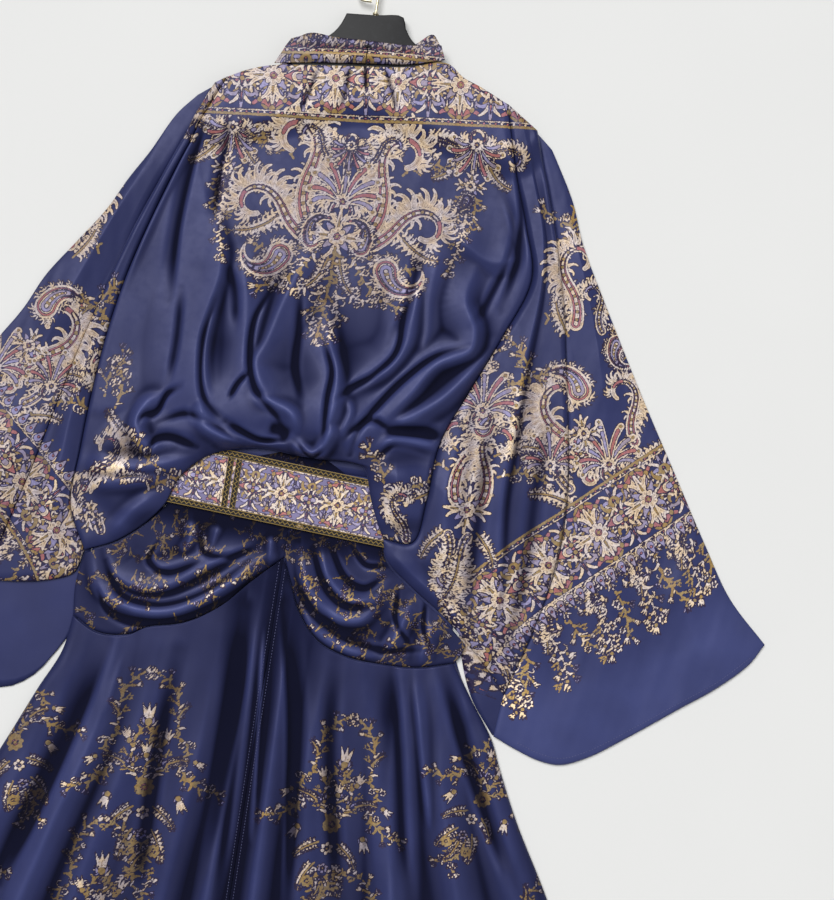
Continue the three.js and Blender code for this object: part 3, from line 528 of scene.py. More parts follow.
def heading_of(line, k):
    """The direction of a line at its point k, in degrees from +y."""
    step = line[min(k + 1, len(line) - 1)] - line[max(k - 1, 0)]
    return math.degrees(math.atan2(step[1], step[0])) - 90


def leaf(pen, x, y, angle, length, ink="cream", width=0.16, bend=0.5):
    own = pen.at(x, y, angle)
    own.line(ink, volute(length, bend, 1.2, 6), length * width, 0.35)


def lobe(pen, size, ink="cream", fingers=4, flip=1):
    """One lobe of a feathered leaf: curled fingers, the middle one longest."""
    own = pen.at(0, 0, 0, 1, flip)
    for k in range(fingers):
        share = k / max(1, fingers - 1)
        reach = size * (0.62 + 0.38 * math.sin(math.pi * (0.25 + 0.6 * share)))
        finger = own.at(0, 0, 48 - 74 * share)
        finger.line(ink, volute(reach, 1.6 + 0.9 * share, 2.2, 8), size * 0.15, size * 0.04)


def scroll(pen, length=120, turn=4.3, body="cream", heart="rose", back=True, flip=1):
    """A feathered S scroll: a banded body that swings one way and curls back, lobes along it."""
    own = pen.at(0, 0, 0, 1, flip)
    share = np.linspace(0, 1, 30)
    heading = np.pi / 2 + 0.9 * np.sin(np.pi * share) - turn * np.maximum(0, share - 0.3) ** 1.5 * 1.7
    step = np.stack([np.cos(heading), np.sin(heading)], axis=1) * length / 29
    line = np.vstack([[0, 0], np.cumsum(step[:-1], axis=0)])
    for k in range(2, 27, 3):
        size = length * (0.11 + 0.12 * math.sin(math.pi * k / 27))
        lobe(own.at(*line[k], heading_of(line, k) + 62), size, body, 4, -1)
        if back and k % 2 == 0 and k < 20:
            lobe(own.at(*line[k], heading_of(line, k) - 66), size * 0.66, "cream", 3)
    wide = length * 0.062
    own.line(body, line, wide, wide * 0.34)
    own.line(heart, line[:26], wide * 0.62, wide * 0.2)
    own.line("cream", line[:22], wide * 0.26, wide * 0.12)
    for k in range(1, 20, 2):
        own.dot("gold", *line[k], wide * 0.2)


def paisley(pen, size=50, turn=3.3, flip=1):
    """A bent drop with nested bands of ink, a beaded edge and small leaves about it."""
    own = pen.at(0, 0, 0, 1, flip)
    drop = volute(size * 1.25, turn, 1.25, 20)
    wide = size * 0.27
    for k in range(0, 18, 2):
        reach = wide * (1 - k / 20)
        for outer in (-1, 1):
            if outer == 1 and k > 9:
                continue
            edge = own.at(*drop[k], heading_of(drop, k) - outer * 74)
            lobe(edge.at(0, reach * 0.9, 0), size * (0.19 - 0.004 * k), "cream", 3, outer)
    for angle in (130, 160, 200, 230):
        lobe(own.at(0, 0, angle).at(0, wide * 0.9), size * 0.2, "cream", 3)
    for ink, part, start, end in (("cream", 20, 1.0, 1.1), ("rose", 17, 0.8, 0.5), ("cream", 15, 0.6, 0.5),
                                  ("violet", 14, 0.47, 0.4), ("gold", 9, 0.2, 0.5)):
        own.line(ink, drop[:part], wide * start, end)
    for k in range(0, 12, 2):
        own.dot("cream", *drop[k], wide * 0.16 * (1 - k / 15))


def rosette(pen, size=16, petals=6, ink="cream", heart="rose"):
    for k in range(petals):
        own = pen.at(0, 0, 360 * k / petals)
        own.line(ink, [(0, size * 0.2), (0, size * 0.36)], size * 0.13, size * 0.12)
    pen.dot(heart, 0, 0, size * 0.17)
    pen.dot("gold", 0, 0, size * 0.08)


def bell(pen, size=14, ink="violet", heart="cream"):
    """A small hanging flower seen from the side."""
    for angle in (-30, 30, 0):
        own = pen.at(0, 0, angle)
        own.line(ink, [(0, 0), (0, size * 0.45), (0, size * 0.85)], size * 0.16, 0.5)
    pen.line(heart, [(0, size * 0.1), (0, size * 0.5)], size * 0.07, 0.4)
    pen.dot("gold", 0, 0, size * 0.14)


def iris(pen, size=24, ink="violet"):
    """A flower of five curled petals over two leaves."""
    for flip in (-1, 1):
        own = pen.at(0, 0, 0, 1, flip)
        own.at(0, 0, -78).line("gold", volute(size * 0.6, -1.2, 1.2, 6), size * 0.08, 0.4)
        own.at(0, size * 0.1, -52).line(ink, volute(size * 0.72, 1.6, 1.5, 8), size * 0.12, size * 0.06)
        own.at(0, size * 0.1, -24).line("cream", volute(size * 0.8, 0.9, 1.5, 8), size * 0.1, size * 0.05)
    pen.line(ink, [(0, 0), (0, size * 0.5), (0, size * 0.95)], size * 0.13, size * 0.05)
    pen.line("rose", [(0, size * 0.1), (0, size * 0.6)], size * 0.05, 0.4)
    pen.dot("gold", 0, size * 0.04, size * 0.09)


def cartouche(pen, size=30):
    """A pointed rose shield in a cream frame."""
    for ink, wide in (("cream", 0.34), ("gold", 0.27), ("rose", 0.24)):
        for flip in (-1, 1):
            pen.line(ink, [(0, 0), (size * 0.26 * flip, 0), (size * 0.5 * flip, 0)], size * wide,
                     size * max(0.02, wide - 0.3))
    pen.line("cream", [(-size * 0.2, 0), (size * 0.2, 0)], size * 0.12, size * 0.12)
    pen.line("violet", [(-size * 0.15, 0), (size * 0.15, 0)], size * 0.075, size * 0.075)
    pen.dot("rose", 0, 0, size * 0.05)


def star(pen, size=44):
    """A cream star flower: four long petals, four short ones and a banded heart."""
    for k in range(4):
        own = pen.at(0, 0, 90 * k + 45)
        own.line("violet", [(0, size * 0.12), (0, size * 0.34)], size * 0.1, size * 0.03)
    for k in range(4):
        own = pen.at(0, 0, 90 * k)
        for flip in (-1, 1):
            petal = own.at(0, size * 0.1, -16 * flip, 1, flip)
            petal.line("cream", volute(size * 0.42, 0.9, 2, 8), size * 0.06, size * 0.03)
        own.line("cream", [(0, 0), (0, size * 0.3), (0, size * 0.56)], size * 0.09, size * 0.03)
        own.line("gold", [(0, size * 0.1), (0, size * 0.4)], size * 0.03, 0.4)
    rosette(pen, size * 0.42, 8, "cream", "rose")


def crescent(pen, size=12, ink="cream"):
    share = np.linspace(-2.1, 2.1, 9)
    arc = np.stack([np.sin(share), -np.cos(share)], axis=1) * size * 0.4
    pen.line(ink, arc[:5], 0.5, size * 0.13)
    pen.line(ink, arc[4:], size * 0.13, 0.5)


def tulip(pen, size=12):
    """A small pale cup flower with a darker throat."""
    pen.line("violet", [(0, size * 0.1), (0, size * 0.5)], size * 0.3, size * 0.2)
    for tilt in (-20, 20, 0):
        own = pen.at(0, 0, tilt)
        own.line("cream", [(0, size * 0.15), (0, size * 0.55), (0, size * 0.95)], size * 0.13, 0.45)
    pen.dot("gold", 0, 0, size * 0.16)


def spray(pen, length=90, bend=0.9, ink="gold", flowers=5, seed=1, bloom=11):
    """A stem with alternate leaves, curled tendrils and a few flowers of the bloom's size."""
    rng = np.random.default_rng(seed)
    stem = volute(length, bend, 1.3, 20)
    pen.line(ink, stem, 1.25, 1.0)
    stops = max(4, round(length / 6))
    for n in range(1, stops):
        k = round(19 * n / stops)
        outer = 1 if n % 2 else -1
        reach = bloom * rng.uniform(0.7, 1.25) * (1.1 - 0.35 * n / stops)
        own = pen.at(*stem[k], heading_of(stem, k) + outer * rng.uniform(35, 60), 1.0, -outer)
        if rng.random() < 0.3:
            own.line("cream" if rng.random() < 0.4 else ink, volute(reach * 1.5, 3.8, 1.5, 9), 0.95, 0.8)
        else:
            own.line(ink if rng.random() < 0.6 else "cream", volute(reach, 0.8, 1.0, 5), reach * 0.2, 0.8)
    for n in range(flowers):
        k = int(4 + 14 * n / max(1, flowers - 1))
        outer = 1 if n % 2 else -1
        side = pen.at(*stem[k], heading_of(stem, k) + outer * 50)
        side.line(ink, [(0, 0), (0, bloom)], 1.1, 1.0)
        kind = rng.integers(3)
        if kind == 0:
            rosette(side.at(0, bloom), bloom * rng.uniform(1.0, 1.3), 6, "cream", "rose")
        elif kind == 1:
            tulip(side.at(0, bloom), bloom * 1.1)
        else:
            bell(side.at(0, bloom), bloom * 1.1, "violet" if n % 2 else "gold", "cream")
    tulip(pen.at(*stem[-1], heading_of(stem, 19)), bloom * 1.3)


def feather(pen, length=40, ink="cream"):
    """A broad leaf of curled lobes on both sides of a rib."""
    rib = volute(length, 0.8, 1.6, 10)
    for k in range(1, 9):
        for outer in (-1, 1):
            size = length * (0.3 - 0.018 * k)
            lobe(pen.at(*rib[k], heading_of(rib, k) + outer * 46), size, ink, 3, -outer)
    pen.line("gold", rib, 1.1, 0.5)


def palmette(pen, size=60, leaves=9):
    for flip in (-1, 1):
        curl = pen.at(0, 0, 105 * -flip, 1.0, flip)
        lobe(curl.at(0, size * 0.3, -30), size * 0.3, "cream", 4)
        curl.line("cream", volute(size * 0.8, 4.4, 1.2, 18), size * 0.055, size * 0.03)
        curl.line("rose", volute(size * 0.5, 2.6, 1.2, 12), size * 0.022, 0.5)
    order = sorted(range(leaves), key=lambda k: -abs(k - (leaves - 1) / 2))
    for k in order:
        tilt = (k - (leaves - 1) / 2) / ((leaves - 1) / 2)
        own = pen.at(0, 0, -tilt * 80, 1.0, 1 if tilt > 0 else -1)
        reach = size * (1 - 0.3 * abs(tilt))
        petal = volute(reach, 0.25 + 1.2 * abs(tilt), 2.2, 9)
        own.line("cream", petal, size * 0.06, size * 0.085)
        own.line("rose" if k % 2 else "violet", petal[1:8], size * 0.02, size * 0.045)
        own.dot("gold", *petal[-1], size * 0.032)
    rosette(pen, size * 0.36, 8, "cream", "rose")


def lappets(pen_at, count, size):
    """A row of small leafed points below a border. pen_at gives the pen at a share of the row."""
    for k in range(count):
        pen = pen_at((k + 0.5) / count)
        for ink, wide in (("cream", 0.5), ("violet", 0.34)):
            pen.line(ink, [(0, size * 0.1), (0, size * 0.95)], size * wide, 0.6)
        pen.dot("rose", 0, size * 0.25, size * 0.12)
        pen.dot("gold", 0, size * 1.1, size * 0.1)


def border(sheet, path, half, tile=60, fringe=0):
    """A printed border along a path: ruled and beaded lines, stars, rose shields and flowers.
    fringe adds a row of points of that size on its right hand side."""
    route = Route(path)
    count = max(1, round(route.length / tile))

    def pen_at(share, across=0.0, angle=0.0, size=1.0):
        here = route.at(share)
        ahead, behind = route.at(min(1, share + 0.004)), route.at(max(0, share - 0.004))
        heading = ahead - behind
        normal = np.array([-heading[1], heading[0]]) / np.linalg.norm(heading)
        turn = math.degrees(math.atan2(heading[1], heading[0]))
        return Pen(sheet, *(here + normal * across), turn + angle, size)

    unit = half / 46
    for k in range(2 * count + 1):
        share = min(1, k / count / 2)
        for rise in (-1, 1):
            crescent(pen_at(min(1, share + 0.25 / count), rise * half * 0.4, 90 * rise, unit * 1.5), 13)
            if k % 2 == 0:
                iris(pen_at(share, rise * half * 0.36, 0 if rise > 0 else 180, unit), 26, "violet")
                lobe(pen_at(share, rise * half * 0.2, 60 * rise, unit), 26, "gold", 3)
                lobe(pen_at(share, rise * half * 0.2, -60 * rise, unit), 26, "gold", 3, -1)
            else:
                inward = 180 if rise > 0 else 0
                iris(pen_at(share, rise * half * 0.86, inward, unit), 34, "rose")
                for side in (-1, 1):
                    beside = pen_at(share + 0.13 * side / count, rise * half * 0.3, 40 * side * rise, unit)
                    leaf(beside, 0, 0, 0, 22, "gold", 0.12)
                    bell(pen_at(share + 0.2 * side / count, rise * half * 0.62, inward, unit), 20)
        if k % 2 == 0:
            cartouche(pen_at(share, 0, 0, unit), 46)
            bell(pen_at(share, 5 * unit, 0, unit), 18, "cream", "rose")
            bell(pen_at(share, -5 * unit, 180, unit), 18, "cream", "rose")
        else:
            star(pen_at(share, 0, 0, unit), 58)
    shares = np.linspace(0, 1, 8 * count + 1)
    for edge in (-1, 1):
        rule = np.array([pen_at(share, edge * half).origin for share in shares])
        inner = np.array([pen_at(share, edge * (half - 5)).origin for share in shares])
        sheet.stroke("gold", rule, 1.5, 1.5)
        sheet.stroke("cream", inner, 0.8, 0.8)
        beads = max(4, round(route.length / 7))
        for k in range(beads):
            pen_at((k + 0.5) / beads, edge * (half - 2.5)).dot("rose" if k % 2 else "cream", 0, 0, 1.5)
    if fringe:
        lappets(lambda share: pen_at(share, -half - 1, 180), round(route.length / (fringe * 1.1)), fringe)


# ---- materials ----
def srgb(code):
    """A hex colour as linear light."""
    parts = [int(code[k : k + 2], 16) / 255 for k in (1, 3, 5)]
    return tuple(p / 12.92 if p <= 0.04045 else ((p + 0.055) / 1.055) ** 2.4 for p in parts)


def add(tree, kind, values=None, links=None, **settings):
    """Adds a shader node with its settings, its values and its links."""
    made = tree.nodes.new("ShaderNode" + kind)
    for key, value in settings.items():
        setattr(made, key, value)
    for key, value in (values or {}).items():
        made.inputs[key].default_value = value
    for key, socket in (links or {}).items():
        tree.links.new(socket, made.inputs[key])
    return made


def new_material(name, **values):
    """A material with one Principled shader, its plain values set on the shader itself."""
    made = bpy.data.materials.new(name)
    made.use_nodes = True
    tree = made.node_tree
    tree.nodes.clear()
    shader = add(tree, "BsdfPrincipled", values)
    output = add(tree, "OutputMaterial")
    tree.links.new(shader.outputs["BSDF"], output.inputs["Surface"])
    return made, tree, shader


def mix(tree, share, first, second, blend="MIX"):
    """The second colour over the first. Each is a socket or a colour."""
    made = add(tree, "Mix", data_type="RGBA", blend_type=blend, clamp_factor=True)
    for key, value in ((0, share), (6, first), (7, second)):
        if isinstance(value, bpy.types.NodeSocket):
            tree.links.new(value, made.inputs[key])
        else:
            made.inputs[key].default_value = value if key == 0 else (*value[:3], 1)
    return made.outputs[2]


def noise(tree, place, size, detail=2.0, roughness=0.5):
    """Cloudy noise of about this size in mm."""
    return add(tree, "TexNoise", {"Scale": 1 / (size * MM), "Detail": detail, "Roughness": roughness},
               {"Vector": place}).outputs["Fac"]


def ranged(tree, value, low, high, to_low=0.0, to_high=1.0):
    return add(tree, "MapRange", {"From Min": low, "From Max": high, "To Min": to_low, "To Max": to_high},
               {"Value": value}).outputs["Result"]


def satin_bump(tree, place):
    """Satin's fine slanted ribs, drawn 1.3 mm apart so that they show, over soft creases."""
    turned = add(tree, "Mapping", {"Rotation": (0, 0, math.radians(63))}, {"Vector": place})
    ribs = add(tree, "TexWave", {"Scale": 0.314 / (1.3 * MM), "Distortion": 1.2, "Detail": 1.0},
               {"Vector": turned.outputs["Vector"]}, wave_type="BANDS", bands_direction="X")
    fine = add(tree, "Bump", {"Strength": 0.06, "Distance": 0.05 * MM}, {"Height": ribs.outputs["Fac"]})
    drawn = add(tree, "Mapping", {"Scale": (1, 0.22, 1)}, {"Vector": place}).outputs["Vector"]
    crease = add(tree, "Bump", {"Strength": 0.26, "Distance": 0.4 * MM},
                 {"Height": noise(tree, drawn, 9, 3.0), "Normal": fine.outputs["Normal"]})
    return add(tree, "Bump", {"Strength": 0.3, "Distance": 1.0 * MM},
               {"Height": noise(tree, drawn, 26, 2.0), "Normal": crease.outputs["Normal"]}).outputs["Normal"]


INK_STOPS = {
    # depth inside the outline in mm, colour, opacity: a dark outline, then the ink with its shading
    "violet": [(-0.9, "outline", 0.0), (-0.5, "outline", 0.8), (0.1, "outline", 0.8), (0.4, "violet", 1.0),
               (5.0, "violet", 1.0), (12.0, "plum", 1.0)],
    "rose": [(-0.7, "outline", 0.0), (-0.4, "outline", 0.9), (0.1, "outline", 0.9), (0.5, "rose", 1.0),
             (2.5, "rose", 1.0), (3.4, "rust", 1.0), (5.5, "rose", 1.0)],
    "cream": [(-1.0, "outline", 0.0), (-0.55, "outline", 0.9), (0.0, "outline", 0.9), (0.35, "cream", 1.0),
              (1.3, "cream", 1.0), (1.9, "tan", 1.0), (2.6, "cream", 1.0), (3.6, "tan", 1.0),
              (5.0, "cream", 1.0)],
    "gold": [(-0.6, "outline", 0.0), (-0.35, "outline", 0.7), (0.0, "gold", 1.0), (6.0, "gold", 1.0)],
}
INK_COLOURS = {"outline": "#2A2036", "violet": "#958EAC", "plum": "#62587A", "rose": "#A26A6C",
               "rust": "#8C4E42", "cream": "#D3C4B5", "tan": "#9C8877", "gold": "#968055"}
INK_SPAN = (-2.0, 12.0)
# mm below the cloth about it, and the share of the colour that painted shade leaves there; above 1 it is
# painted light
HOLLOW_LEVELS = ((-8, 2.1), (-4, 1.4), (-0.6, 1.0), (1.2, 0.56), (4.2, 0.07))
HOLLOW_SPAN = (-8, 6)


def ramp_of(tree, depth, span, stops):
    """The outputs of a colour ramp over the span of depths, its stops (depth, colour, opacity)."""
    low, high = span
    ramp = add(tree, "ValToRGB", links={"Fac": ranged(tree, depth, low, high)})
    made = ramp.color_ramp.elements
    while len(made) < len(stops):
        made.new(0.5)
    for stop, (deep, colour, cover) in zip(made, stops):
        stop.position = (deep - low) / (high - low)
        stop.color = (*colour, cover)
    return ramp.outputs


def printed(tree, ground, place):
    """The four inks over the cloth's own colour, each a little uneven, as ink on silk is: warmer
    in some patches, cooler in others, with edges that wander."""
    colour = ground
    patch = ranged(tree, noise(tree, place, 11, 3.0), 0.4, 0.6)
    tint = mix(tree, patch, (1.0, 0.9, 0.72), (0.95, 0.96, 1.06))
    uneven = ranged(tree, noise(tree, place, 2.6, 3.0, 0.65), 0.3, 0.7, 0.7, 1.3)
    shade = mix(tree, 1.0, tint, uneven_colour(tree, uneven), "MULTIPLY")
    drift = ranged(tree, noise(tree, place, 2.0, 2.0), 0.3, 0.7, -0.3, 0.4)
    for ink in INKS:
        depth = add(tree, "Math", operation="ADD")
        tree.links.new(add(tree, "Attribute", attribute_name="ink_" + ink).outputs["Fac"], depth.inputs[0])
        tree.links.new(drift, depth.inputs[1])
        stops = [(deep, srgb(INK_COLOURS[name]), cover) for deep, name, cover in INK_STOPS[ink]]
        ramp = ramp_of(tree, depth.outputs[0], INK_SPAN, stops)
        own = mix(tree, 1.0, ramp["Color"], shade, "MULTIPLY")
        colour = mix(tree, ramp["Alpha"], colour, own)
    return colour


def uneven_colour(tree, value):
    """A grey of this value."""
    return add(tree, "CombineColor", links={"Red": value, "Green": value, "Blue": value}).outputs["Color"]


def shaded(tree, colour):
    """Painted shade, darker in the hollows between folds where little light comes, and painted light on the
    crests.
    """
    depth = add(tree, "Attribute", attribute_name="hollow").outputs["Fac"]
    stops = [(deep, (level, level, level**0.8), 1) for deep, level in HOLLOW_LEVELS]  # bluer when dim
    return mix(tree, 1.0, colour, ramp_of(tree, depth, HOLLOW_SPAN, stops)["Color"], "MULTIPLY")


def navy_satin(name, colour, inks=True):
    """Silk satin, piece dyed navy and screen printed: a soft broad gleam across the folds, a little
    bloom where it turns away, and inks that sit in the cloth."""
    made, tree, shader = new_material(name, Roughness=0.5)
    shader.inputs["Sheen Weight"].default_value = 0.03
    shader.inputs["Sheen Roughness"].default_value = 0.4
    shader.inputs["Sheen Tint"].default_value = (*srgb("#9CA0D8"), 1)
    shader.inputs["Specular IOR Level"].default_value = 0.5
    shader.inputs["Specular Tint"].default_value = (*srgb("#B4B6DC"), 1)
    place = add(tree, "TexCoord").outputs["Object"]
    dye = ranged(tree, noise(tree, place, 60, 3.0), 0.3, 0.7)
    ground = mix(tree, dye, tuple(c * 0.9 for c in colour[:3]), tuple(c * 1.1 for c in colour[:3]))
    # The printed satin's colour carries painted shade in the hollows and painted light on the crests; the
    # plain satin has none
    base = shaded(tree, printed(tree, ground, place)) if inks else ground
    tree.links.new(base, shader.inputs["Base Color"])
    rough = add(tree, "Math", operation="MAXIMUM")
    tree.links.new(ranged(tree, noise(tree, place, 9, 2.0), 0.3, 0.7, 0.4, 0.48), rough.inputs[0])
    deep = add(tree, "Attribute", attribute_name="hollow").outputs["Fac"]
    tree.links.new(ranged(tree, deep, 0.4, 3.0, 0.42, 1.0), rough.inputs[1])  # no gleam between folds
    tree.links.new(rough.outputs[0], shader.inputs["Roughness"])
    tree.links.new(satin_bump(tree, place), shader.inputs["Normal"])
    return made


def gold_braid(name):
    """Woven braid of dull gold and black thread: a zigzag between two corded edges."""
    made, tree, shader = new_material(name, Roughness=0.48, Metallic=0.25)
    along = add(tree, "Attribute", attribute_name="along").outputs["Fac"]
    across = add(tree, "Attribute", attribute_name="across").outputs["Fac"]

    def sum_of(kind, a, b=None):
        made_node = add(tree, "Math", operation=kind)
        for k, value in enumerate((a, b)):
            if isinstance(value, bpy.types.NodeSocket):
                tree.links.new(value, made_node.inputs[k])
            elif value is not None:
                made_node.inputs[k].default_value = value
        return made_node.outputs[0]

    peak = sum_of("PINGPONG", along, TOOTH / 2)
    level = sum_of("ABSOLUTE", sum_of("SUBTRACT", sum_of("ADD", across, 1.5), peak))
    zig = ranged(tree, level, 0.55, 0.95, 1.0, 0.0)
    edge = ranged(tree, sum_of("ABSOLUTE", across), 2.7, 3.0)
    strand = sum_of("SINE", sum_of("MULTIPLY", sum_of("ADD", along, across), 6.0))
    gold = mix(tree, ranged(tree, strand, -1, 1), srgb("#6E5A2C"), srgb("#B59B5A"))
    dark = mix(tree, ranged(tree, strand, -1, 1), srgb("#16141C"), srgb("#2C2830"))
    body = mix(tree, sum_of("MAXIMUM", zig, edge), dark, gold)
    tree.links.new(body, shader.inputs["Base Color"])
    height = sum_of("ADD", sum_of("MULTIPLY", strand, 0.3), sum_of("MAXIMUM", zig, edge))
    bump = add(tree, "Bump", {"Strength": 0.7, "Distance": 0.5 * MM}, {"Height": height})
    tree.links.new(bump.outputs["Normal"], shader.inputs["Normal"])
    return made


def sewing_thread(name):
    """Spun polyester sewing thread, a little lighter than the satin: two plies twisted together."""
    made, tree, shader = new_material(name, Roughness=0.6)
    place = add(tree, "TexCoord").outputs["Object"]
    ply = noise(tree, place, 0.6, 2.0)
    colour = mix(tree, ranged(tree, ply, 0.3, 0.7), srgb("#3C3E68"), srgb("#6C6E98"))
    tree.links.new(colour, shader.inputs["Base Color"])
    bump = add(tree, "Bump", {"Strength": 0.4, "Distance": 0.1 * MM}, {"Height": ply})
    tree.links.new(bump.outputs["Normal"], shader.inputs["Normal"])
    return made


def moulded_black(name):
    """Injection moulded black polystyrene, satin from a sparked mould, scuffed a little grey."""
    made, tree, shader = new_material(name, Roughness=0.55)
    shader.inputs["Specular IOR Level"].default_value = 0.35
    place = add(tree, "TexCoord").outputs["Object"]
    scuff = ranged(tree, noise(tree, place, 7, 4.0, 0.7), 0.52, 0.75)
    tree.links.new(mix(tree, scuff, srgb("#101013"), srgb("#1E1E22")), shader.inputs["Base Color"])
    grain = add(tree, "Bump", {"Strength": 0.25, "Distance": 0.1 * MM},
                {"Height": noise(tree, place, 0.9, 2.0)})
    tree.links.new(grain.outputs["Normal"], shader.inputs["Normal"])
    return made


def plated_wire(name, colour, rough=0.25):
    """Drawn steel wire, plated and polished: faint drawing lines along a bright surface."""
    made, tree, shader = new_material(name, Roughness=rough, Metallic=1.0)
    place = add(tree, "TexCoord").outputs["Object"]
    cloud = ranged(tree, noise(tree, place, 5, 3.0), 0.35, 0.7)
    dull = tuple(c * 0.72 for c in srgb(colour))
    tree.links.new(mix(tree, cloud, dull, srgb(colour)), shader.inputs["Base Color"])
    bump = add(tree, "Bump", {"Strength": 0.15, "Distance": 0.05 * MM},
               {"Height": noise(tree, place, 0.8, 2.0)})
    tree.links.new(bump.outputs["Normal"], shader.inputs["Normal"])
    return made


# ---- cloth ----
ROW_SAMPLES = 400  # samples along a panel that place its rows
ROW_BLEND = 8  # samples to either side over which the rows' spacing changes
STITCH = (0.15, 0.72)  # where each stitch starts and ends, in shares of the pitch
THREAD = 0.3  # radius of the thread


def new_piece(name, mesh, look, nodes=()):
    """A smooth mesh that rides on the dress, in place of the nodes."""
    piece = bpy.data.objects.new(name, mesh)
    bpy.context.scene.collection.objects.link(piece)
    mesh.materials.append(look)
    mesh.polygons.foreach_set("use_smooth", np.ones(len(mesh.polygons), bool))
    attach(piece, "root")
    if nodes:
        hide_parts(*nodes)
    return piece


def keep(mesh, name, values):
    """Keeps a value at each corner of the mesh, for the materials."""
    mesh.attributes.new(name, "FLOAT", "POINT").data.foreach_set("value", values.astype(np.float32))


def flat_grid(columns, rows):
    """A flat mesh grid, with each vertex's column from the left and row from the top."""
    work = bmesh.new()
    bmesh.ops.create_grid(work, x_segments=columns, y_segments=rows, size=1)
    mesh = bpy.data.meshes.new("grid")
    work.to_mesh(mesh)
    work.free()
    spots = np.empty(len(mesh.vertices) * 3)
    mesh.vertices.foreach_get("co", spots)
    spots = spots.reshape(-1, 3)
    i = np.rint((spots[:, 0] + 1) / 2 * columns).astype(int)
    j = np.rint((1 - spots[:, 1]) / 2 * rows).astype(int)
    return mesh, i, j


def turn_down(mesh, depth):
    """Turns a wall of cloth down from the free edges."""
    work = bmesh.new()
    work.from_mesh(mesh)
    border = [edge for edge in work.edges if edge.is_boundary]
    made = bmesh.ops.extrude_edge_only(work, edges=border)["geom"]
    for part in made:
        if isinstance(part, bmesh.types.BMVert):
            part.co.z -= depth * MM
    work.to_mesh(mesh)
    work.free()


def pull_in(place, inset):
    """Draws the four edges of a grid of plan places inwards."""
    for target, source, distance in (
        (place[:, 0], place[:, 1], inset[2]), (place[:, -1], place[:, -2], inset[3]),
        (place[0], place[1], inset[0]), (place[-1], place[-2], inset[1]),
    ):
        away = source - target
        target += away / np.maximum(np.linalg.norm(away, axis=1, keepdims=True), 1e-6) * distance


def rows_down(length, cell, sparse):
    """How many rows a panel of this length has, and the share of the way down that each is at."""
    shares = np.linspace(0, 1, ROW_SAMPLES)
    density = np.ones(ROW_SAMPLES)
    for start, end, times in sparse:
        density[(shares > start) & (shares < end)] = 1 / times
    window = np.ones(2 * ROW_BLEND + 1) / (2 * ROW_BLEND + 1)
    density = np.convolve(np.pad(density, ROW_BLEND, mode="edge"), window, mode="valid")
    reached = np.concatenate([[0], np.cumsum((density[1:] + density[:-1]) / 2)]) / (ROW_SAMPLES - 1)
    rows = max(3, round(length / cell * reached[-1]))
    return rows, np.interp(np.linspace(0, reached[-1], rows + 1), reached, shares)


def hollows(rise, cell, spread):
    """How far each place lies below the cloth about it, in mm, for painted shade: broadly, for the
    shade between folds, near by, and in a few cells, so that the painted shade in creases is crisp."""
    wide, near = round(spread / cell) + 1, round(NEAR_SHADE / cell) + 1
    soft = 0.7 * blurred(blurred(rise, wide), wide) + 0.7 * blurred(rise, near) - 1.4 * rise
    return soft + 3 * (blurred(rise, CRISP) - rise)


def make_cloth(name, edges, cell, look, *, floor=BACK_FLOOR, lift=0.0, folds=(), covers=(),
               roll=(0, 0, 0, 0), inset=(0.2, 0.2, 0.2, 0.2), hold=(1, 4), paced=False, calm=None,
               art=None, nodes=None, seed=1, fine=(), wall=1.4, sparse=(), shade=0.0, spread=14):
    """A panel of cloth: edges, roll and inset go top, bottom, left, right. sparse rows say from
    which share of the way down to which the rows stand how many times further apart. shade is
    how many mm of painted shade the panel has beyond what its folds give, or gives that at a
    place, below 0 painted light, and spread how far off, in mm, a fold's painted shade reaches."""
    lengths = [Route(line).length for line in edges]
    columns = max(4, round((0.6 * max(lengths[:2]) + 0.4 * min(lengths[:2])) / cell))
    rows, down = rows_down(max(lengths[2:]), cell, sparse)
    mesh, i, j = flat_grid(columns, rows)
    place = plan(*edges, np.linspace(0, 1, columns + 1), down, hold, paced)
    pull_in(place, inset)
    x, y = place[..., 0], place[..., 1]
    level = covered_by(covers, floor, x, y)
    edge = 1.0
    for width, line in zip(roll, (place[:1], place[-1:], place[:, :1], place[:, -1:])):
        edge = edge * quarter_round(np.linalg.norm(place - line, axis=2), width)
    rise = blurred(blurred(lift + folded_by([*folds, *fine], x, y), 1), 1)
    hollow = hollows(rise, cell, spread)[j, i]
    ease = min(1.5, lift / 2) + 0.01  # how gently the cloth stops at its floor
    rise = ease * np.logaddexp(0, (rise - 2 * ease * (lift < 1)) / ease) + wobble(x, y, seed, WAVES)
    z = level + WALL + np.maximum(rise, 0) * edge * (calm(x, y) if calm else 1)
    spots = np.stack([x[j, i], y[j, i], z[j, i]], axis=1) * MM
    mesh.vertices.foreach_set("co", spots.ravel())
    for ink in INKS:
        depth = np.full(len(i), EMPTY)
        for sheet in art or ():
            depth = np.maximum(depth, sheet.read(ink, x[j, i], y[j, i]))
        keep(mesh, "ink_" + ink, depth)
    # hollow carries painted shade: the depth below the cloth about it plus the panel's painted shade,
    # lighter where below 0
    keep(mesh, "hollow", hollow + (shade(x, y)[j, i] if callable(shade) else shade))
    turn_down(mesh, wall)
    mesh.name = name
    return new_piece(name, mesh, look, nodes or (name,))


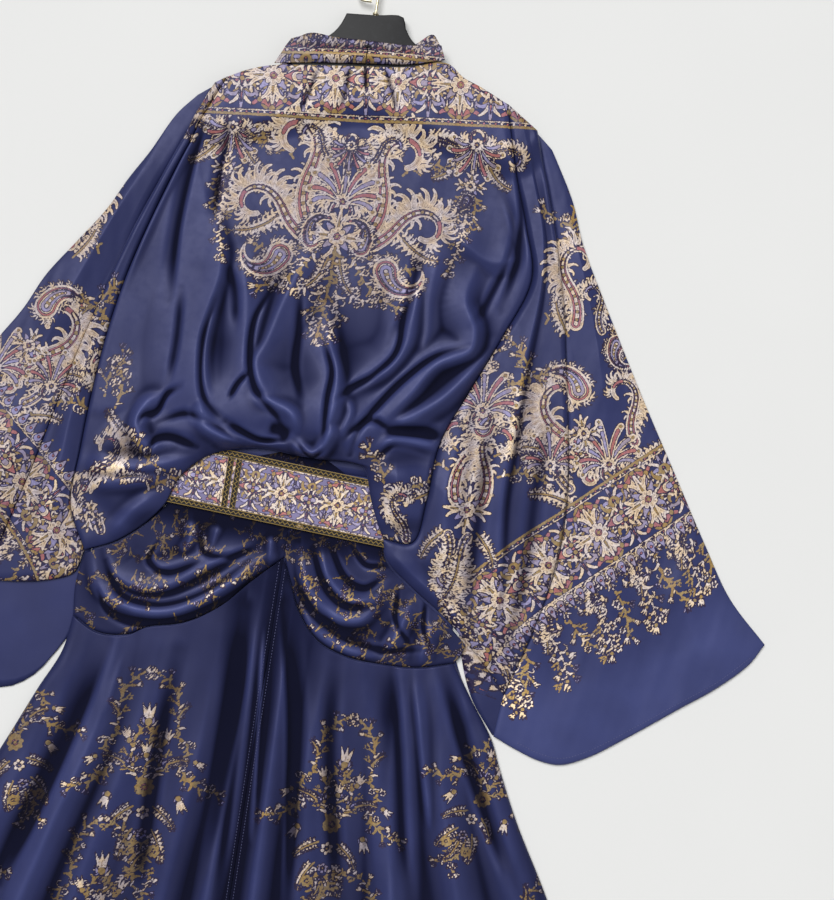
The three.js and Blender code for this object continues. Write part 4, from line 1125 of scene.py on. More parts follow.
def stitches(name, over, lines, pitch=3.6):
    """Short stitches of thread that follow lines over a piece of cloth."""
    bpy.context.view_layer.update()
    work = bmesh.new()
    for points in lines:
        route = Route(points)
        count = int(route.length / pitch)
        for k in range(count):
            ends = []
            for x, y in (route.at((k + share) / count) for share in STITCH):
                hit, place, _, _ = over.ray_cast((x * MM, y * MM, 0.1), (0, 0, -1))
                if hit:
                    ends.append(place + Vector((0, 0, 0.1 * MM)))
            if len(ends) == 2:
                run = ends[1] - ends[0]
                turn = run.to_track_quat("Z", "Y").to_matrix().to_4x4()
                middle = Matrix.Translation((ends[0] + ends[1]) / 2)
                bmesh.ops.create_cone(work, cap_ends=True, segments=5, radius1=THREAD * MM,
                                      radius2=THREAD * MM, depth=run.length, matrix=middle @ turn)
    mesh = bpy.data.meshes.new(name)
    work.to_mesh(mesh)
    work.free()
    return new_piece(name, mesh, look("navy polyester thread", sewing_thread))


# ---- where the ornament lies ----
def yoke_art():
    """The shoulder yoke and collar, and the pendant under them."""
    sheet = Print(-275, 180, 270, 585, 0.7)
    for x, y, flip in ((-134, 424, -1), (156, 448, 1)):
        for side in (-1, 1):
            scroll(Pen(sheet, x + 8 * side, y - 6, 180 + 70 * side, 1, side), 70, 4.0, "cream", "violet")
            feather(Pen(sheet, x + 14 * side, y - 18, 180 + 34 * side, 1, -side), 46)
            spray(Pen(sheet, x, y - 46, 180 + 26 * side, 1, side), 60, 0.9, "gold", 5, 4, 8)
        palmette(Pen(sheet, x, y - 2, 180, 1, flip), 44)
        star(Pen(sheet, x, y - 50), 34)
        paisley(Pen(sheet, x - 2, y - 66, 176, 1, flip), 26)
        spray(Pen(sheet, x, y - 84, 180, 1, flip), 72, 0.4, "cream", 6, 6, 8)
    for flip in (-1, 1):
        spray(Pen(sheet, 8 - 30 * flip, 300, 180 - 58 * flip, 1, flip), 70, 1.0, "gold", 5, 8, 9)
        spray(Pen(sheet, 8 - 22 * flip, 292, 180 - 30 * flip, 1, flip), 84, 0.9, "gold", 6, 9, 9)
        spray(Pen(sheet, 8 - 14 * flip, 258, 180 - 48 * flip, 1, flip), 54, 1.2, "cream", 4, 11, 9)
        spray(Pen(sheet, 8 - 8 * flip, 250, 180 - 18 * flip, 1, -flip), 66, 0.9, "cream", 5, 13, 9)
        spray(Pen(sheet, 8 - 66 * flip, 398, 40 * flip, 1, -flip), 56, 1.4, "gold", 4, 15, 8)
        feather(Pen(sheet, 8 - 70 * flip, 330, 132 * flip, 1, flip), 62)
        feather(Pen(sheet, 8 - 94 * flip, 362, 96 * flip, 1, -flip), 50)
        scroll(Pen(sheet, 8 - 26 * flip, 304, 76 * flip, 1, -flip), 156, 4.1, "cream", "rose")
        scroll(Pen(sheet, 8 - 40 * flip, 330, 26 * flip, 1, -flip), 176, 4.3)
        scroll(Pen(sheet, 8 - 20 * flip, 402, 58 * flip, 1, -flip), 76, 4.0, "cream", "violet")
        paisley(Pen(sheet, 8 - 64 * flip, 282, 158 * flip, 1, flip), 58)
        paisley(Pen(sheet, 8 - 30 * flip, 306, 26 * flip, 1, flip), 44)
    palmette(Pen(sheet, 8, 356), 58)
    palmette(Pen(sheet, 8, 424, 180), 34)
    feather(Pen(sheet, 2, 292, 168, 1, 1), 50)
    feather(Pen(sheet, 14, 292, 192, 1, -1), 50)
    star(Pen(sheet, 8, 314), 56)
    spray(Pen(sheet, 8, 300, 180), 108, 0.12, "gold", 8, 5, 10)
    border(sheet, [(-206, 478), (0, 500), (236, 525)], 47, tile=74)
    border(sheet, [(-120, 546), (0, 560), (120, 568)], 30, tile=34)
    return sheet


def fall_art():
    """Where the bodice's sides fall over the ends of the belt."""
    sheet = Print(-262, -112, 250, 180, 0.7)
    for x, y, angle, flip in ((-236, 82, 4, 1), (-222, 70, -18, -1), (-150, 6, 72, 1), (-170, -24, -40, 1),
                              (112, 22, 10, -1), (124, 4, -24, 1), (136, -22, 150, 1)):
        spray(Pen(sheet, x, y, angle, 1, flip), 56, 0.9, "gold", 6, 71, 9)
    feather(Pen(sheet, -190, 34, 64, 1, 1), 54)
    feather(Pen(sheet, -206, -12, -70, 1, 1), 44)
    scroll(Pen(sheet, -244, -30, -12, 1, -1), 104, 4.1)
    scroll(Pen(sheet, -216, -76, 20, 1, 1), 96, 4.2, "cream", "violet")
    scroll(Pen(sheet, 146, -30, 6, 1, 1), 84, 4.2)
    feather(Pen(sheet, 150, 20, -60, 1, -1), 44)
    star(Pen(sheet, -232, -62), 34)
    return sheet


def sleeve_art(side):
    """A sleeve: side is 1 for the right, -1 for the left."""
    low, high = sorted((150 * side, 605 * side))
    sheet = Print(low, -300, high, 480, 0.75)

    def pen(x, y, angle=0.0, size=1.0, flip=1):
        return Pen(sheet, x * side, y, angle * side, size, flip * side)

    path = [(215, -178), (262, -92), (371, 13), (470, 103), (560, 180)]
    for k in range(13):
        share = k / 12
        x, y = 240 + share * 284, -158 + share * 250
        if k % 2:
            feather(pen(x, y, -137 + 8 * (k % 3), 1, 1 if k % 4 else -1), 52)
            spray(pen(x + 26, y - 26, -137, 1, 1 if k % 4 else -1), 54, 0.6, "cream", 7, 50 + k, 10)
            rosette(pen(x + 20, y - 20), 20, 8, "cream", "rose")
        else:
            scroll(pen(x, y, -104, 1, 1), 58, 4.2, "cream", "gold")
            scroll(pen(x, y, -166, 1, -1), 58, 4.2, "cream", "violet")
            hanging = pen(x + 16, y - 16, -134 - 9 * (k % 3), 1, 1 if k % 4 else -1)
            spray(hanging, 62, 0.8, "gold", 6, 30 + k, 9)
            star(pen(x + 8, y - 8, 45), 26)
    for x, y, angle, length, seed, flip in (
        (296, 118, 26, 84, 21, -1), (372, 196, 30, 96, 22, 1), (318, 330, 34, 92, 27, -1),
        (286, 350, 12, 80, 28, 1), (400, 60, 40, 80, 29, -1), (440, 120, 20, 70, 31, 1),
        (270, 250, -20, 70, 32, 1), (262, 180, 16, 60, 33, -1), (350, 300, 28, 60, 34, 1),
    ):
        spray(pen(x, y, angle, 1, flip), length, 0.9, "gold", 6, seed, 9)
    feather(pen(300, 240, 40, 1, 1), 56)
    feather(pen(404, 96, -30, 1, 1), 56)
    feather(pen(340, 40, 70, 1, -1), 60)
    scroll(pen(330, 60, 62, 1, -1), 112, 4.2, "cream", "violet")
    scroll(pen(352, 78, 20), 178, 4.3)
    scroll(pen(398, 128, 34, 1, -1), 112, 4.0)
    scroll(pen(306, 256, -4, 1, 1), 138, 4.2)
    scroll(pen(338, 252, 34, 1, -1), 84, 4.2, "cream", "violet")
    paisley(pen(322, 178, 24, 1, -1), 56)
    paisley(pen(358, 240, 160, 1, -1), 40)
    palmette(pen(372, 96, 20), 52)
    palmette(pen(302, 84, 10), 44)
    star(pen(336, 128, 20), 40)
    border(sheet, [(x * side, y) for x, y in path], 45, tile=70, fringe=13)
    for flip in (-1, 1):
        spray(pen(212 + 14 * flip, 146, -28 * flip, 1, flip), 74, 1.0, "gold", 6, 25, 9)
        spray(pen(212 + 30 * flip, 60, -64 * flip, 1, flip), 60, 1.0, "gold", 5, 35, 9)
        spray(pen(214 + 12 * flip, -70, 180 - 18 * flip, 1, flip), 66, 0.8, "cream", 6, 24, 9)
        feather(pen(212 + 22 * flip, 84, -56 * flip, 1, flip), 56)
        feather(pen(210 + 18 * flip, -10, 180 - 48 * -flip, 1, flip), 48)
        scroll(pen(206 + 12 * flip, -16, 180 - 30 * flip, 1, flip), 100, 4.2, "cream", "violet")
        scroll(pen(212 + 16 * flip, 28, -18 * flip, 1, flip), 138, 4.3)
        paisley(pen(212 + 4 * flip, 116, -24 * flip, 1, flip), 52)
    palmette(pen(212, 136, 4), 54)
    feather(pen(212, -40, 180, 1, 1), 60)
    spray(pen(212, 170, 0), 74, 0.3, "cream", 6, 26, 9)
    star(pen(212, 16), 50)
    return sheet


def arabesque(root, seed):
    """A tall airy bouquet: two stems that part and curl, tulips between them, leaves at the foot."""
    for flip in (-1, 1):
        spray(root.at(6 * flip, 34, 30 * -flip, 1, flip), 84, -1.5, "gold", 7, seed, 9)
        spray(root.at(36 * flip, 100, 10 * -flip, 1, -flip), 84, 1.3, "gold", 7, seed + 1, 9)
        spray(root.at(30 * flip, 96, 96 * -flip, 1, flip), 50, 2.8, "gold", 4, seed + 2, 9)
        spray(root.at(40 * flip, 64, 152 * -flip, 1, -flip), 66, 1.2, "gold", 6, seed + 3, 9)
        spray(root.at(6 * flip, -26, 164 * -flip, 1, flip), 66, 1.6, "gold", 6, seed + 4, 9)
        feather(root.at(12 * flip, 6, 118 * -flip, 1, flip), 40)
        feather(root.at(12 * flip, -22, 146 * -flip, 1, flip), 44)
        feather(root.at(26 * flip, 60, 62 * -flip, 1, flip), 30)
        feather(root.at(36 * flip, 118, 24 * -flip, 1, flip), 22)
        tulip(root.at(44 * flip, 20, 160 * -flip), 21)
        tulip(root.at(22 * flip, 88, 24 * -flip), 19)
        tulip(root.at(62 * flip, 66, 120 * -flip), 16)
        bell(root.at(16 * flip, 58, 26 * -flip), 15, "violet", "cream")
        rosette(root.at(17 * flip, -48), 17, 7, "gold", "rose")
    spray(root.at(0, 20), 84, 0.15, "gold", 6, seed + 5, 9)
    tulip(root.at(0, 112), 26)
    tulip(root.at(0, 70), 19)
    rosette(root.at(0, 30), 25, 8, "gold", "rose")
    rosette(root.at(0, -2), 18, 6, "cream", "violet")
    rosette(root.at(0, -28), 15, 6, "violet", "cream")
    feather(root.at(0, -40, 180), 34)


def skirt_art():
    """Bouquets of stems, leaves and small flowers down both halves of the skirt."""
    sheet = Print(-480, -740, 560, -170, 0.7)
    for x, y, lean, size, seed in ((-114, -400, 5, 0.96, 41), (110, -408, -3, 0.9, 41),
                                   (-268, -366, 20, 0.86, 61), (276, -346, -22, 0.8, 61)):
        arabesque(Pen(sheet, x, y, lean, size), seed)
        arabesque(Pen(sheet, x * 1.22, y - 186, lean * 1.2, size * 1.02), seed + 10)
    return sheet


def hip_art():
    """Small trailing sprigs scattered over the hip yoke."""
    sheet = Print(-245, -205, 245, 70, 0.5)
    rng = np.random.default_rng(12)
    for row in range(13):
        for column in range(20):
            x = -240 + column * 24.5 + (12 if row % 2 else 0) + rng.uniform(-4, 4)
            y = -198 + row * 21 + rng.uniform(-4, 4)
            pen = Pen(sheet, x, y, rng.uniform(0, 360), rng.uniform(0.85, 1.15), rng.choice((-1, 1)))
            stem = volute(34, 2.6, 1.3, 12)
            pen.line("gold", stem, 0.55, 0.4)
            for k in range(2, 11, 2):
                outer = 1 if k % 4 else -1
                own = pen.at(*stem[k], heading_of(stem, k) + 48 * outer)
                own.line("gold", volute(6.5, 0.9, 1.0, 4), 0.85, 0.3)
            rosette(pen.at(*stem[5]).at(4, 0), 7.5, 5, "violet", "rose")
            tulip(pen.at(*stem[-1], heading_of(stem, 11)), 7.5)
            if rng.random() < 0.6:
                rosette(pen.at(*stem[8]).at(-4, 1), 7.5, 5, "violet", "cream")
    return sheet


def belt_art():
    """The waistband's own border."""
    sheet = Print(-180, -56, 160, 58, 0.4)
    border(sheet, [(-182, 9.5), (0, 0), (162, -8.4)], 34, tile=66)
    return sheet


# ---- the operators ----
class DressSizes(bpy.types.PropertyGroup):
    """The lengths that set how finely the cloth is made"""

    bodice_cell: FloatProperty(name="Bodice cell", description="Spacing of the bodice's mesh",
                               default=1.42 * MM, min=0.001, unit="LENGTH", subtype="DISTANCE")
    sleeve_cell: FloatProperty(name="Sleeve cell", description="Spacing of the sleeves' mesh",
                               default=1.6 * MM, min=0.001, unit="LENGTH", subtype="DISTANCE")
    skirt_cell: FloatProperty(name="Skirt cell", description="Spacing of the skirt's mesh",
                              default=2.25 * MM, min=0.001, unit="LENGTH", subtype="DISTANCE")
    yoke_cell: FloatProperty(name="Hip yoke cell", description="Spacing of the hip yoke's mesh",
                             default=1.5 * MM, min=0.001, unit="LENGTH", subtype="DISTANCE")
    trim_cell: FloatProperty(name="Trim cell", description="Spacing of the belt, braid and collar mesh",
                             default=1.2 * MM, min=0.0005, unit="LENGTH", subtype="DISTANCE")
    under_cell: FloatProperty(name="Under cell", description="Spacing of the flat front panels' mesh",
                              default=9.0 * MM, min=0.001, unit="LENGTH", subtype="DISTANCE")


class DressColours(bpy.types.PropertyGroup):
    """The colours of the dress and its hanger"""

    navy: FloatVectorProperty(name="Navy satin", description="Colour of the dyed satin", subtype="COLOR",
                              size=3, min=0, max=1, default=srgb("#2B3058"))
    belt: FloatVectorProperty(name="Belt satin", description="Colour of the waistband's ground",
                              subtype="COLOR", size=3, min=0, max=1, default=srgb("#716A8C"))
    floor: FloatVectorProperty(name="Floor", description="Colour of the surface it lies on",
                               subtype="COLOR", size=3, min=0, max=1, default=srgb("#E4E4E2"))


def look(name, maker, *values, **settings):
    """A material that several pieces share."""
    return bpy.data.materials.get(name) or maker(name, *values, **settings)


def printed_satin():
    """The dyed satin with its print."""
    return look("printed silk satin", navy_satin, bpy.context.scene.dress_colours.navy)


def plain_satin():
    """The dyed satin alone."""
    return look("plain silk satin", navy_satin, bpy.context.scene.dress_colours.navy, inks=False)


def cell(name):
    """One of the mesh spacings, in mm."""
    return getattr(bpy.context.scene.dress_sizes, name + "_cell") / MM


ART = {}


def art(name, maker, *values):
    """A sheet of ornament that several pieces share."""
    if name not in ART:
        ART[name] = maker(*values)
    return ART[name]


# How many mm of painted shade a place has beyond what its folds give; below 0 it is painted lighter, as if
# it caught the light.
def bodice_shade(x, y):
    """Painted shade, deepest in the middle, and painted light on the shoulder yoke."""
    middle = 0.9 * np.exp(-(((x - 20) / 110) ** 2) - ((y - 150) / 110) ** 2)
    return middle - 1.6 * smoothstep(y, 400, 460)


def cuff_shade(x, y):
    """Painted light over the sleeve, strongest along the right cuff."""
    return -1.4 - 5 * (1 - smoothstep(nearest(EDGES["right_cuff"], x, y)[0], 50, 130))


def waist_shade(x, y):
    """Painted shade over the hip yoke, deepest just below the belt."""
    return 1.5 + 2.6 * (1 - smoothstep(below_belt(x, y), 0, 30))


def seam_shade(x, _):
    """Painted shade over the skirt, deepest along its centre back seam."""
    return 0.7 + 2.9 * np.exp(-(((x - 8) / 66) ** 2))


def below_belt(x, y):
    """How far below the belt's lower edge a place is, in mm."""
    return -44 - 0.06 * x - y


class DRESS_OT_bodice(bpy.types.Operator):
    """Makes the back and front of the bodice"""

    bl_idname = "dress.bodice"
    bl_label = "Bodice"

    def execute(self, context):
        back = make_cloth(
            "bodice_back_cloth", [EDGES["neck"], EDGES["blouse"], EDGES["left_seam"], EDGES["right_seam"]],
            cell("bodice"), printed_satin(), floor=YOKE_FLOOR, lift=3, folds=BODICE_FOLDS,
            fine=BODICE_CREASES, covers=[HANGER_COVER, BELT_COVER], roll=(14, 16, 7, 9),
            inset=(1, 1, 0.2, 0.2), hold=(2, 2), paced=True,
            art=[art("yoke", yoke_art), art("fall", fall_art)],
            nodes=["bodice_back"], seed=11, sparse=[(0.5, 1, 2.0)], shade=bodice_shade)
        front = make_cloth(
            "bodice_front_cloth",
            [[(-169, 461), (-128, 488), (-92, 501), (0, 514), (96, 528), (150, 512), (199, 487)],
             [(-204, 35), (204, 35)], [(-169, 461), (-199, 300), (-204, 35)],
             [(199, 487), (214, 300), (204, 35)]],
            cell("under"), plain_satin(), floor=FRONT_FLOOR, nodes=["bodice_front"])
        return {"FINISHED"}


class DRESS_OT_sleeves(bpy.types.Operator):
    """Makes the batwing sleeves: on each side the drape beside the bodice, the back and the front"""

    bl_idname = "dress.sleeves"
    bl_label = "Sleeves"

    def execute(self, context):
        right, left, yoke = art("right", sleeve_art, 1), art("left", sleeve_art, -1), art("yoke", yoke_art)
        covers = [HANGER_COVER, BELT_COVER]
        piece = make_cloth(
            "sleeve_right_drape_cloth",
            [[(184, 501), (224, 475)], EDGES["right_drape_hem"], EDGES["right_seam"], EDGES["right_pleat"]],
            cell("sleeve"), printed_satin(), floor=YOKE_FLOOR, lift=3, folds=DRAPE_FOLDS,
            covers=covers, roll=(10, 12, 8, 9), inset=(0.2, 1, 0.2, 0.2), paced=True, art=[yoke, right],
            nodes=["sleeve_right_drape"], seed=12)
        piece = make_cloth(
            "sleeve_left_drape_cloth",
            [[(-164, 471), (-150, 481)], EDGES["left_drape_hem"], EDGES["left_pleat"], EDGES["left_seam"]],
            cell("sleeve"), printed_satin(), floor=YOKE_FLOOR, lift=3, folds=DRAPE_FOLDS,
            covers=covers, roll=(8, 12, 9, 6), inset=(0.2, 1, 0.2, 0.2), paced=True, art=[yoke, left],
            nodes=["sleeve_left_drape"], seed=13, sparse=[(0, 0.3, 2)])
        piece = make_cloth(
            "sleeve_right_back_cloth",
            [[(224, 475), (246, 457)], EDGES["right_cuff"],
             EDGES["right_pleat"] + EDGES["right_cuff_start"][1:], EDGES["right_outline"]],
            cell("sleeve"), printed_satin(), lift=1.5, folds=SLEEVE_FOLDS,
            roll=(0, 8, 8, 14), inset=(0.2, 0.2, 1, 0.2), art=[right], nodes=["sleeve_right_back"], seed=14,
            shade=cuff_shade, sparse=[(0, 0.2, 1.8)])
        stitches("cuff_right_stitches", piece, [[(x, y + 9) for x, y in EDGES["right_cuff"][1:-1]]])
        piece = make_cloth(
            "sleeve_left_back_cloth",
            [[(-184, 456), (-164, 471)], EDGES["left_cuff"], EDGES["left_outline"],
             EDGES["left_pleat"] + EDGES["left_cuff_start"][1:]],
            cell("sleeve"), printed_satin(), lift=1.5, folds=SLEEVE_FOLDS,
            roll=(0, 8, 14, 8), inset=(0.2, 0.2, 0.2, 1), art=[left], nodes=["sleeve_left_back"], seed=15,
            sparse=[(0, 0.2, 1.8)])
        stitches("cuff_left_stitches", piece, [[(x, y + 9) for x, y in EDGES["left_cuff"][1:]]])
        piece = make_cloth(
            "sleeve_right_front_cloth",
            [[(200, 488), (246, 457)], EDGES["right_cuff"],
             [(200, 488), (215, 300), (205, 40), (214, -60), (228, -148), (250, -206), (283, -249)],
             EDGES["right_outline"]],
            0.7 * cell("under"), printed_satin(), floor=FRONT_FLOOR,
            inset=(2, 2, 0, 2), art=[right], nodes=["sleeve_right_front"])
        piece = make_cloth(
            "sleeve_left_front_cloth",
            [[(-184, 456), (-170, 462)],
             EDGES["left_cuff"] + [(-330, -284), (-300, -282), (-270, -262), (-246, -226)],
             EDGES["left_outline"],
             [(-170, 462), (-200, 300), (-205, 40), (-230, -140), (-229, -190), (-246, -226)]],
            cell("under"), plain_satin(), floor=FRONT_FLOOR, inset=(2, 2, 2, 0),
            nodes=["sleeve_left_front"])
        return {"FINISHED"}


class DRESS_OT_collar(bpy.types.Operator):
    """Makes the stand collar's two backs and its front"""

    bl_idname = "dress.collar"
    bl_label = "Collar"

    def execute(self, context):
        yoke = art("yoke", yoke_art)
        base = [(-98, 505), (-50, 513), (10, 521), (60, 528), (103, 540)]
        edge = [(-86, 530), (-62, 547), (-30, 547), (10, 549), (60, 551), (96, 557)]
        for name, low, high, left, right, flat in (
            ("left", base[:3], edge[:4], [edge[0], base[0]], [edge[3], base[2]], (0.11, 0.035)),
            ("right", base[2:], edge[3:], [edge[3], base[2]], [edge[-1], base[-1]], (0.1, 0.03)),
        ):
            piece = make_cloth(
                f"collar_{name}_cloth", [high, low, left, right], cell("trim"), printed_satin(),
                floor=HANGER_TOP + LAYER_GAP, lift=1, folds=COLLAR_FOLDS, roll=(3, 0, 0, 0),
                inset=(0, 0.3, 0.5, 0.5), hold=(1, 4), art=[yoke], nodes=[f"collar_back_{name}"], seed=16)
        piece = make_cloth(
            "collar_front_cloth",
            [[(-84, 541), (-58, 551), (-20, 546), (30, 548), (62, 556), (83, 572), (92, 563)],
             [(-92, 503), (96, 530)], [(-84, 541), (-92, 524), (-92, 503)],
             [(92, 563), (98, 550), (96, 530)]],
            cell("trim"), printed_satin(), floor=0, inset=(0, 0, 0, 0), art=[yoke],
            nodes=["collar_front"], seed=17)
        return {"FINISHED"}


# Topstitching: down each side of the centre back seam and along the hem.
SKIRT_SEAMS = {"left": [[(1, -80), (1, -300), (1, -500), (1, -830)],
                        [(-464, -752), (-380, -784), (-240, -811), (-110, -823), (2, -826)]],
               "right": [[(9, -84), (9, -300), (9, -500), (9, -830)],
                         [(8, -826), (130, -823), (290, -809), (430, -783), (546, -752)]]}


def calm_at_belt(x, y):
    """The share of its folds that the hip yoke has: none under the belt, all of them below it."""
    return smoothstep(below_belt(x, y), -4, 14)


class DRESS_OT_hip_yoke(bpy.types.Operator):
    """Makes the two swagged halves of the hip yoke"""

    bl_idname = "dress.hip_yoke"
    bl_label = "Hip yoke"

    def execute(self, context):
        sprigs = art("hip", hip_art)
        centre = [(5, 60), (5, -75)]
        for name, left, right, roll in (
            ("left", [(-232, -106), (-237, -145), (-234, -182)], centre, (0, 7, 8, 0)),
            ("right", centre, [(236, -144), (233, -156), (226, -168)], (0, 7, 0, 0)),
        ):
            piece = make_cloth(
                f"hip_yoke_{name}_cloth",
                [EDGES[f"yoke_{name}_top"], EDGES[f"yoke_{name}_hem"], left, right],
                cell("yoke"), printed_satin(), lift=3, folds=YOKE_FOLDS, fine=YOKE_CREASES,
                calm=calm_at_belt, shade=waist_shade, roll=roll, inset=(1, 0.4, 0.2, 0.2), art=[sprigs],
                nodes=[f"hip_yoke_{name}"], seed=18)
        return {"FINISHED"}


class DRESS_OT_skirt(bpy.types.Operator):
    """Makes the two back halves of the flared skirt and its front"""

    bl_idname = "dress.skirt"
    bl_label = "Skirt"

    def execute(self, context):
        flowers = art("skirt", skirt_art)
        centre = [(5, -75), (5, -450), (5, -835)]
        for name, left, right, roll in (
            ("left", EDGES["skirt_left_outline"], centre, (0, 6, 12, 0)),
            ("right", centre, EDGES["skirt_right_outline"], (0, 6, 0, 12)),
        ):
            piece = make_cloth(
                f"skirt_{name}_cloth",
                [EDGES[f"yoke_{name}_hem"], EDGES[f"skirt_{name}_hem"], left, right],
                cell("skirt"), printed_satin(), lift=6, folds=SKIRT_FOLDS,
                fine=SKIRT_CREASES, spread=30, shade=seam_shade, roll=roll,
                inset=(0.4, 0.2, 0.2, 0.2), art=[flowers], nodes=[f"skirt_back_{name}"], seed=19,
                sparse=[(0, 0.16, 1.5), (0.74, 1, 3.0)])
            stitches(f"skirt_{name}_stitches", piece, SKIRT_SEAMS[name])
        front = make_cloth(
            "skirt_front_cloth",
            [[(-211, -37), (207, -37)], EDGES["skirt_left_hem"] + EDGES["skirt_right_hem"][1:],
             [(-211, -37), (-233, -140), (-234, -182)] + EDGES["skirt_left_outline"][1:],
             [(207, -37), (214, -90), (228, -160), (256, -212)] + EDGES["skirt_right_outline"][2:]],
            cell("under"), plain_satin(), floor=LOWEST_FLOOR, inset=(1, 2, 2, 2), hold=(1, 6),
            nodes=["skirt_front"])
        return {"FINISHED"}


class DRESS_OT_belt(bpy.types.Operator):
    """Makes the waistband, its braid and its front"""

    bl_idname = "dress.belt"
    bl_label = "Belt"

    def execute(self, context):
        satin = look("interfaced satin belt", navy_satin, context.scene.dress_colours.belt)
        border = art("belt", belt_art)
        # Painted light: shade -3.2 lifts the belt's colour all over
        belt = make_cloth(
            "belt_cloth", [strip_edge(-172, 150, 38), strip_edge(-172, 150, -38),
                           [belt_place(-172, 38), belt_place(-172, -38)],
                           [belt_place(150, 38), belt_place(150, -38)]],
            cell("trim"), satin, floor=BELT_FLOOR, inset=(0, 0, 0, 0), art=[border],
            nodes=["belt_back"], seed=20, wall=2.2, shade=-3.2)
        braid = look("gold and black braid", gold_braid)
        strips = [("lower", -172, 150, -38, -30), ("upper", -172, 150, 30, 38),
                  ("upright_1", -79, -72, -29.6, 29.6), ("upright_2", -69, -62, -29.6, 29.6)]
        trims = [make_braid("braid_" + name, *sides, braid) for name, *sides in strips]
        front = make_cloth(
            "belt_front_cloth", [[(-204, 39), (204, 39)], [(-211, -35), (207, -35)],
                                 [(-204, 39), (-211, -35)], [(204, 39), (207, -35)]],
            cell("under"), plain_satin(), floor=LOWEST_FLOOR, nodes=["belt_front"])
        return {"FINISHED"}


BELT_SLOPE = -0.052
BRAID_CELL = 0.9  # spacing of the braid's mesh
CORD_FROM_MIDDLE = 3.1  # where the braid's corded edges run
TOOTH = 6  # length of one zigzag of the braid


def belt_place(x, across):
    """A place on the belt, across it from its middle line."""
    return (x, BELT_SLOPE * x + across)


def strip_edge(left, right, across):
    """A line along the belt."""
    return [belt_place(left, across), belt_place(right, across)]


def make_braid(name, left, right, low, high, material):
    """A strip of braid on the belt, its corded edges a little higher."""
    upright = high - low > right - left
    columns = max(6, round((right - left) / BRAID_CELL))
    rows = max(6, round((high - low) / BRAID_CELL))
    mesh, i, j = flat_grid(columns, rows)
    x = left + (right - left) * i / columns
    across = high - (high - low) * j / rows
    along, side = (across, x - (left + right) / 2) if upright else (x, across - (low + high) / 2)
    cord = np.exp(-((np.abs(side) - CORD_FROM_MIDDLE) ** 2) / 0.5)
    tooth = np.abs(side + 1.5 - np.abs((along + TOOTH / 2) % TOOTH - TOOTH / 2)) < 0.8
    z = BRAID_TOP - 0.45 + 0.35 * cord + 0.25 * tooth
    spots = np.stack([x, BELT_SLOPE * x + across, z], axis=1) * MM
    mesh.vertices.foreach_set("co", spots.ravel())
    keep(mesh, "along", along)
    keep(mesh, "across", side)
    turn_down(mesh, 0.6)
    mesh.name = name + "_trim"
    return new_piece(name + "_trim", mesh, material, [name])


class DRESS_OT_hanger(bpy.types.Operator):
    """Makes the moulded hanger, its hook and the ring at the hook's foot"""

    bl_idname = "dress.hanger"
    bl_label = "Hanger"

    def execute(self, context):
        outline = Route(HANGER_OUTLINE + HANGER_OUTLINE[:1]).at(np.linspace(0, 1, 121))[:-1]
        work = bmesh.new()
        spots = [work.verts.new((x * MM, y * MM, HANGER_TOP * MM)) for x, y in outline]
        face = work.faces.new(spots)
        made = bmesh.ops.extrude_face_region(work, geom=[face])["geom"]
        bmesh.ops.translate(work, verts=[v for v in made if isinstance(v, bmesh.types.BMVert)],
                            vec=(0, 0, -HANGER_THICK * MM))
        bmesh.ops.recalc_face_normals(work, faces=work.faces)
        rim = [e for e in work.edges if abs(e.verts[0].co.z - e.verts[1].co.z) < 1e-6]
        bmesh.ops.bevel(work, geom=rim, offset=HANGER_ROUND * MM, offset_type="OFFSET", affect="EDGES",
                        segments=3, profile=0.5, material=-1, clamp_overlap=True)
        bmesh.ops.triangulate(work, faces=[f for f in work.faces if len(f.verts) > 4])
        mesh = bpy.data.meshes.new("moulded_hanger")
        work.to_mesh(mesh)
        work.free()
        plastic = look("moulded black polystyrene", moulded_black)
        body = new_piece("moulded_hanger", mesh, plastic, ["hanger"])
        smooth = body.modifiers.new("edges", "EDGE_SPLIT")
        smooth.split_angle = math.radians(40)
        wire = look("gold plated wire", plated_wire, "#EDE3C4", 0.4)
        middle = HANGER_FLOOR + HANGER_THICK / 2
        tube("wire_hook", [(x, y, middle) for x, y in HOOK_ROUTE], WIRE, wire,
             ["hanger_hook"])
        ring("hook_ring", (12, 583.4, middle), 3.2, 1.1, wire)
        return {"FINISHED"}


HANGER_OUTLINE = [(-22, 578), (12, 581), (45, 584), (51, 570), (60, 558), (72, 550), (90, 536),
                  (120, 508), (150, 492), (184, 484), (190, 470), (180, 459), (120, 478), (60, 494),
                  (12, 498), (-40, 488), (-95, 468), (-146, 446), (-156, 452), (-154, 464), (-120, 476),
                  (-90, 494), (-66, 522), (-48, 541), (-35, 552), (-27, 564)]
WIRE = 1.7  # radius of the hanger's wire
HOOK_ROUTE = [(12, 581.35), (12, 596), (12, 612), (11, 630), (2, 642), (-12, 642), (-22, 631), (-21, 616),
              (-11, 604), (-9, 599), (-4, 597.5), (5, 597.5)]


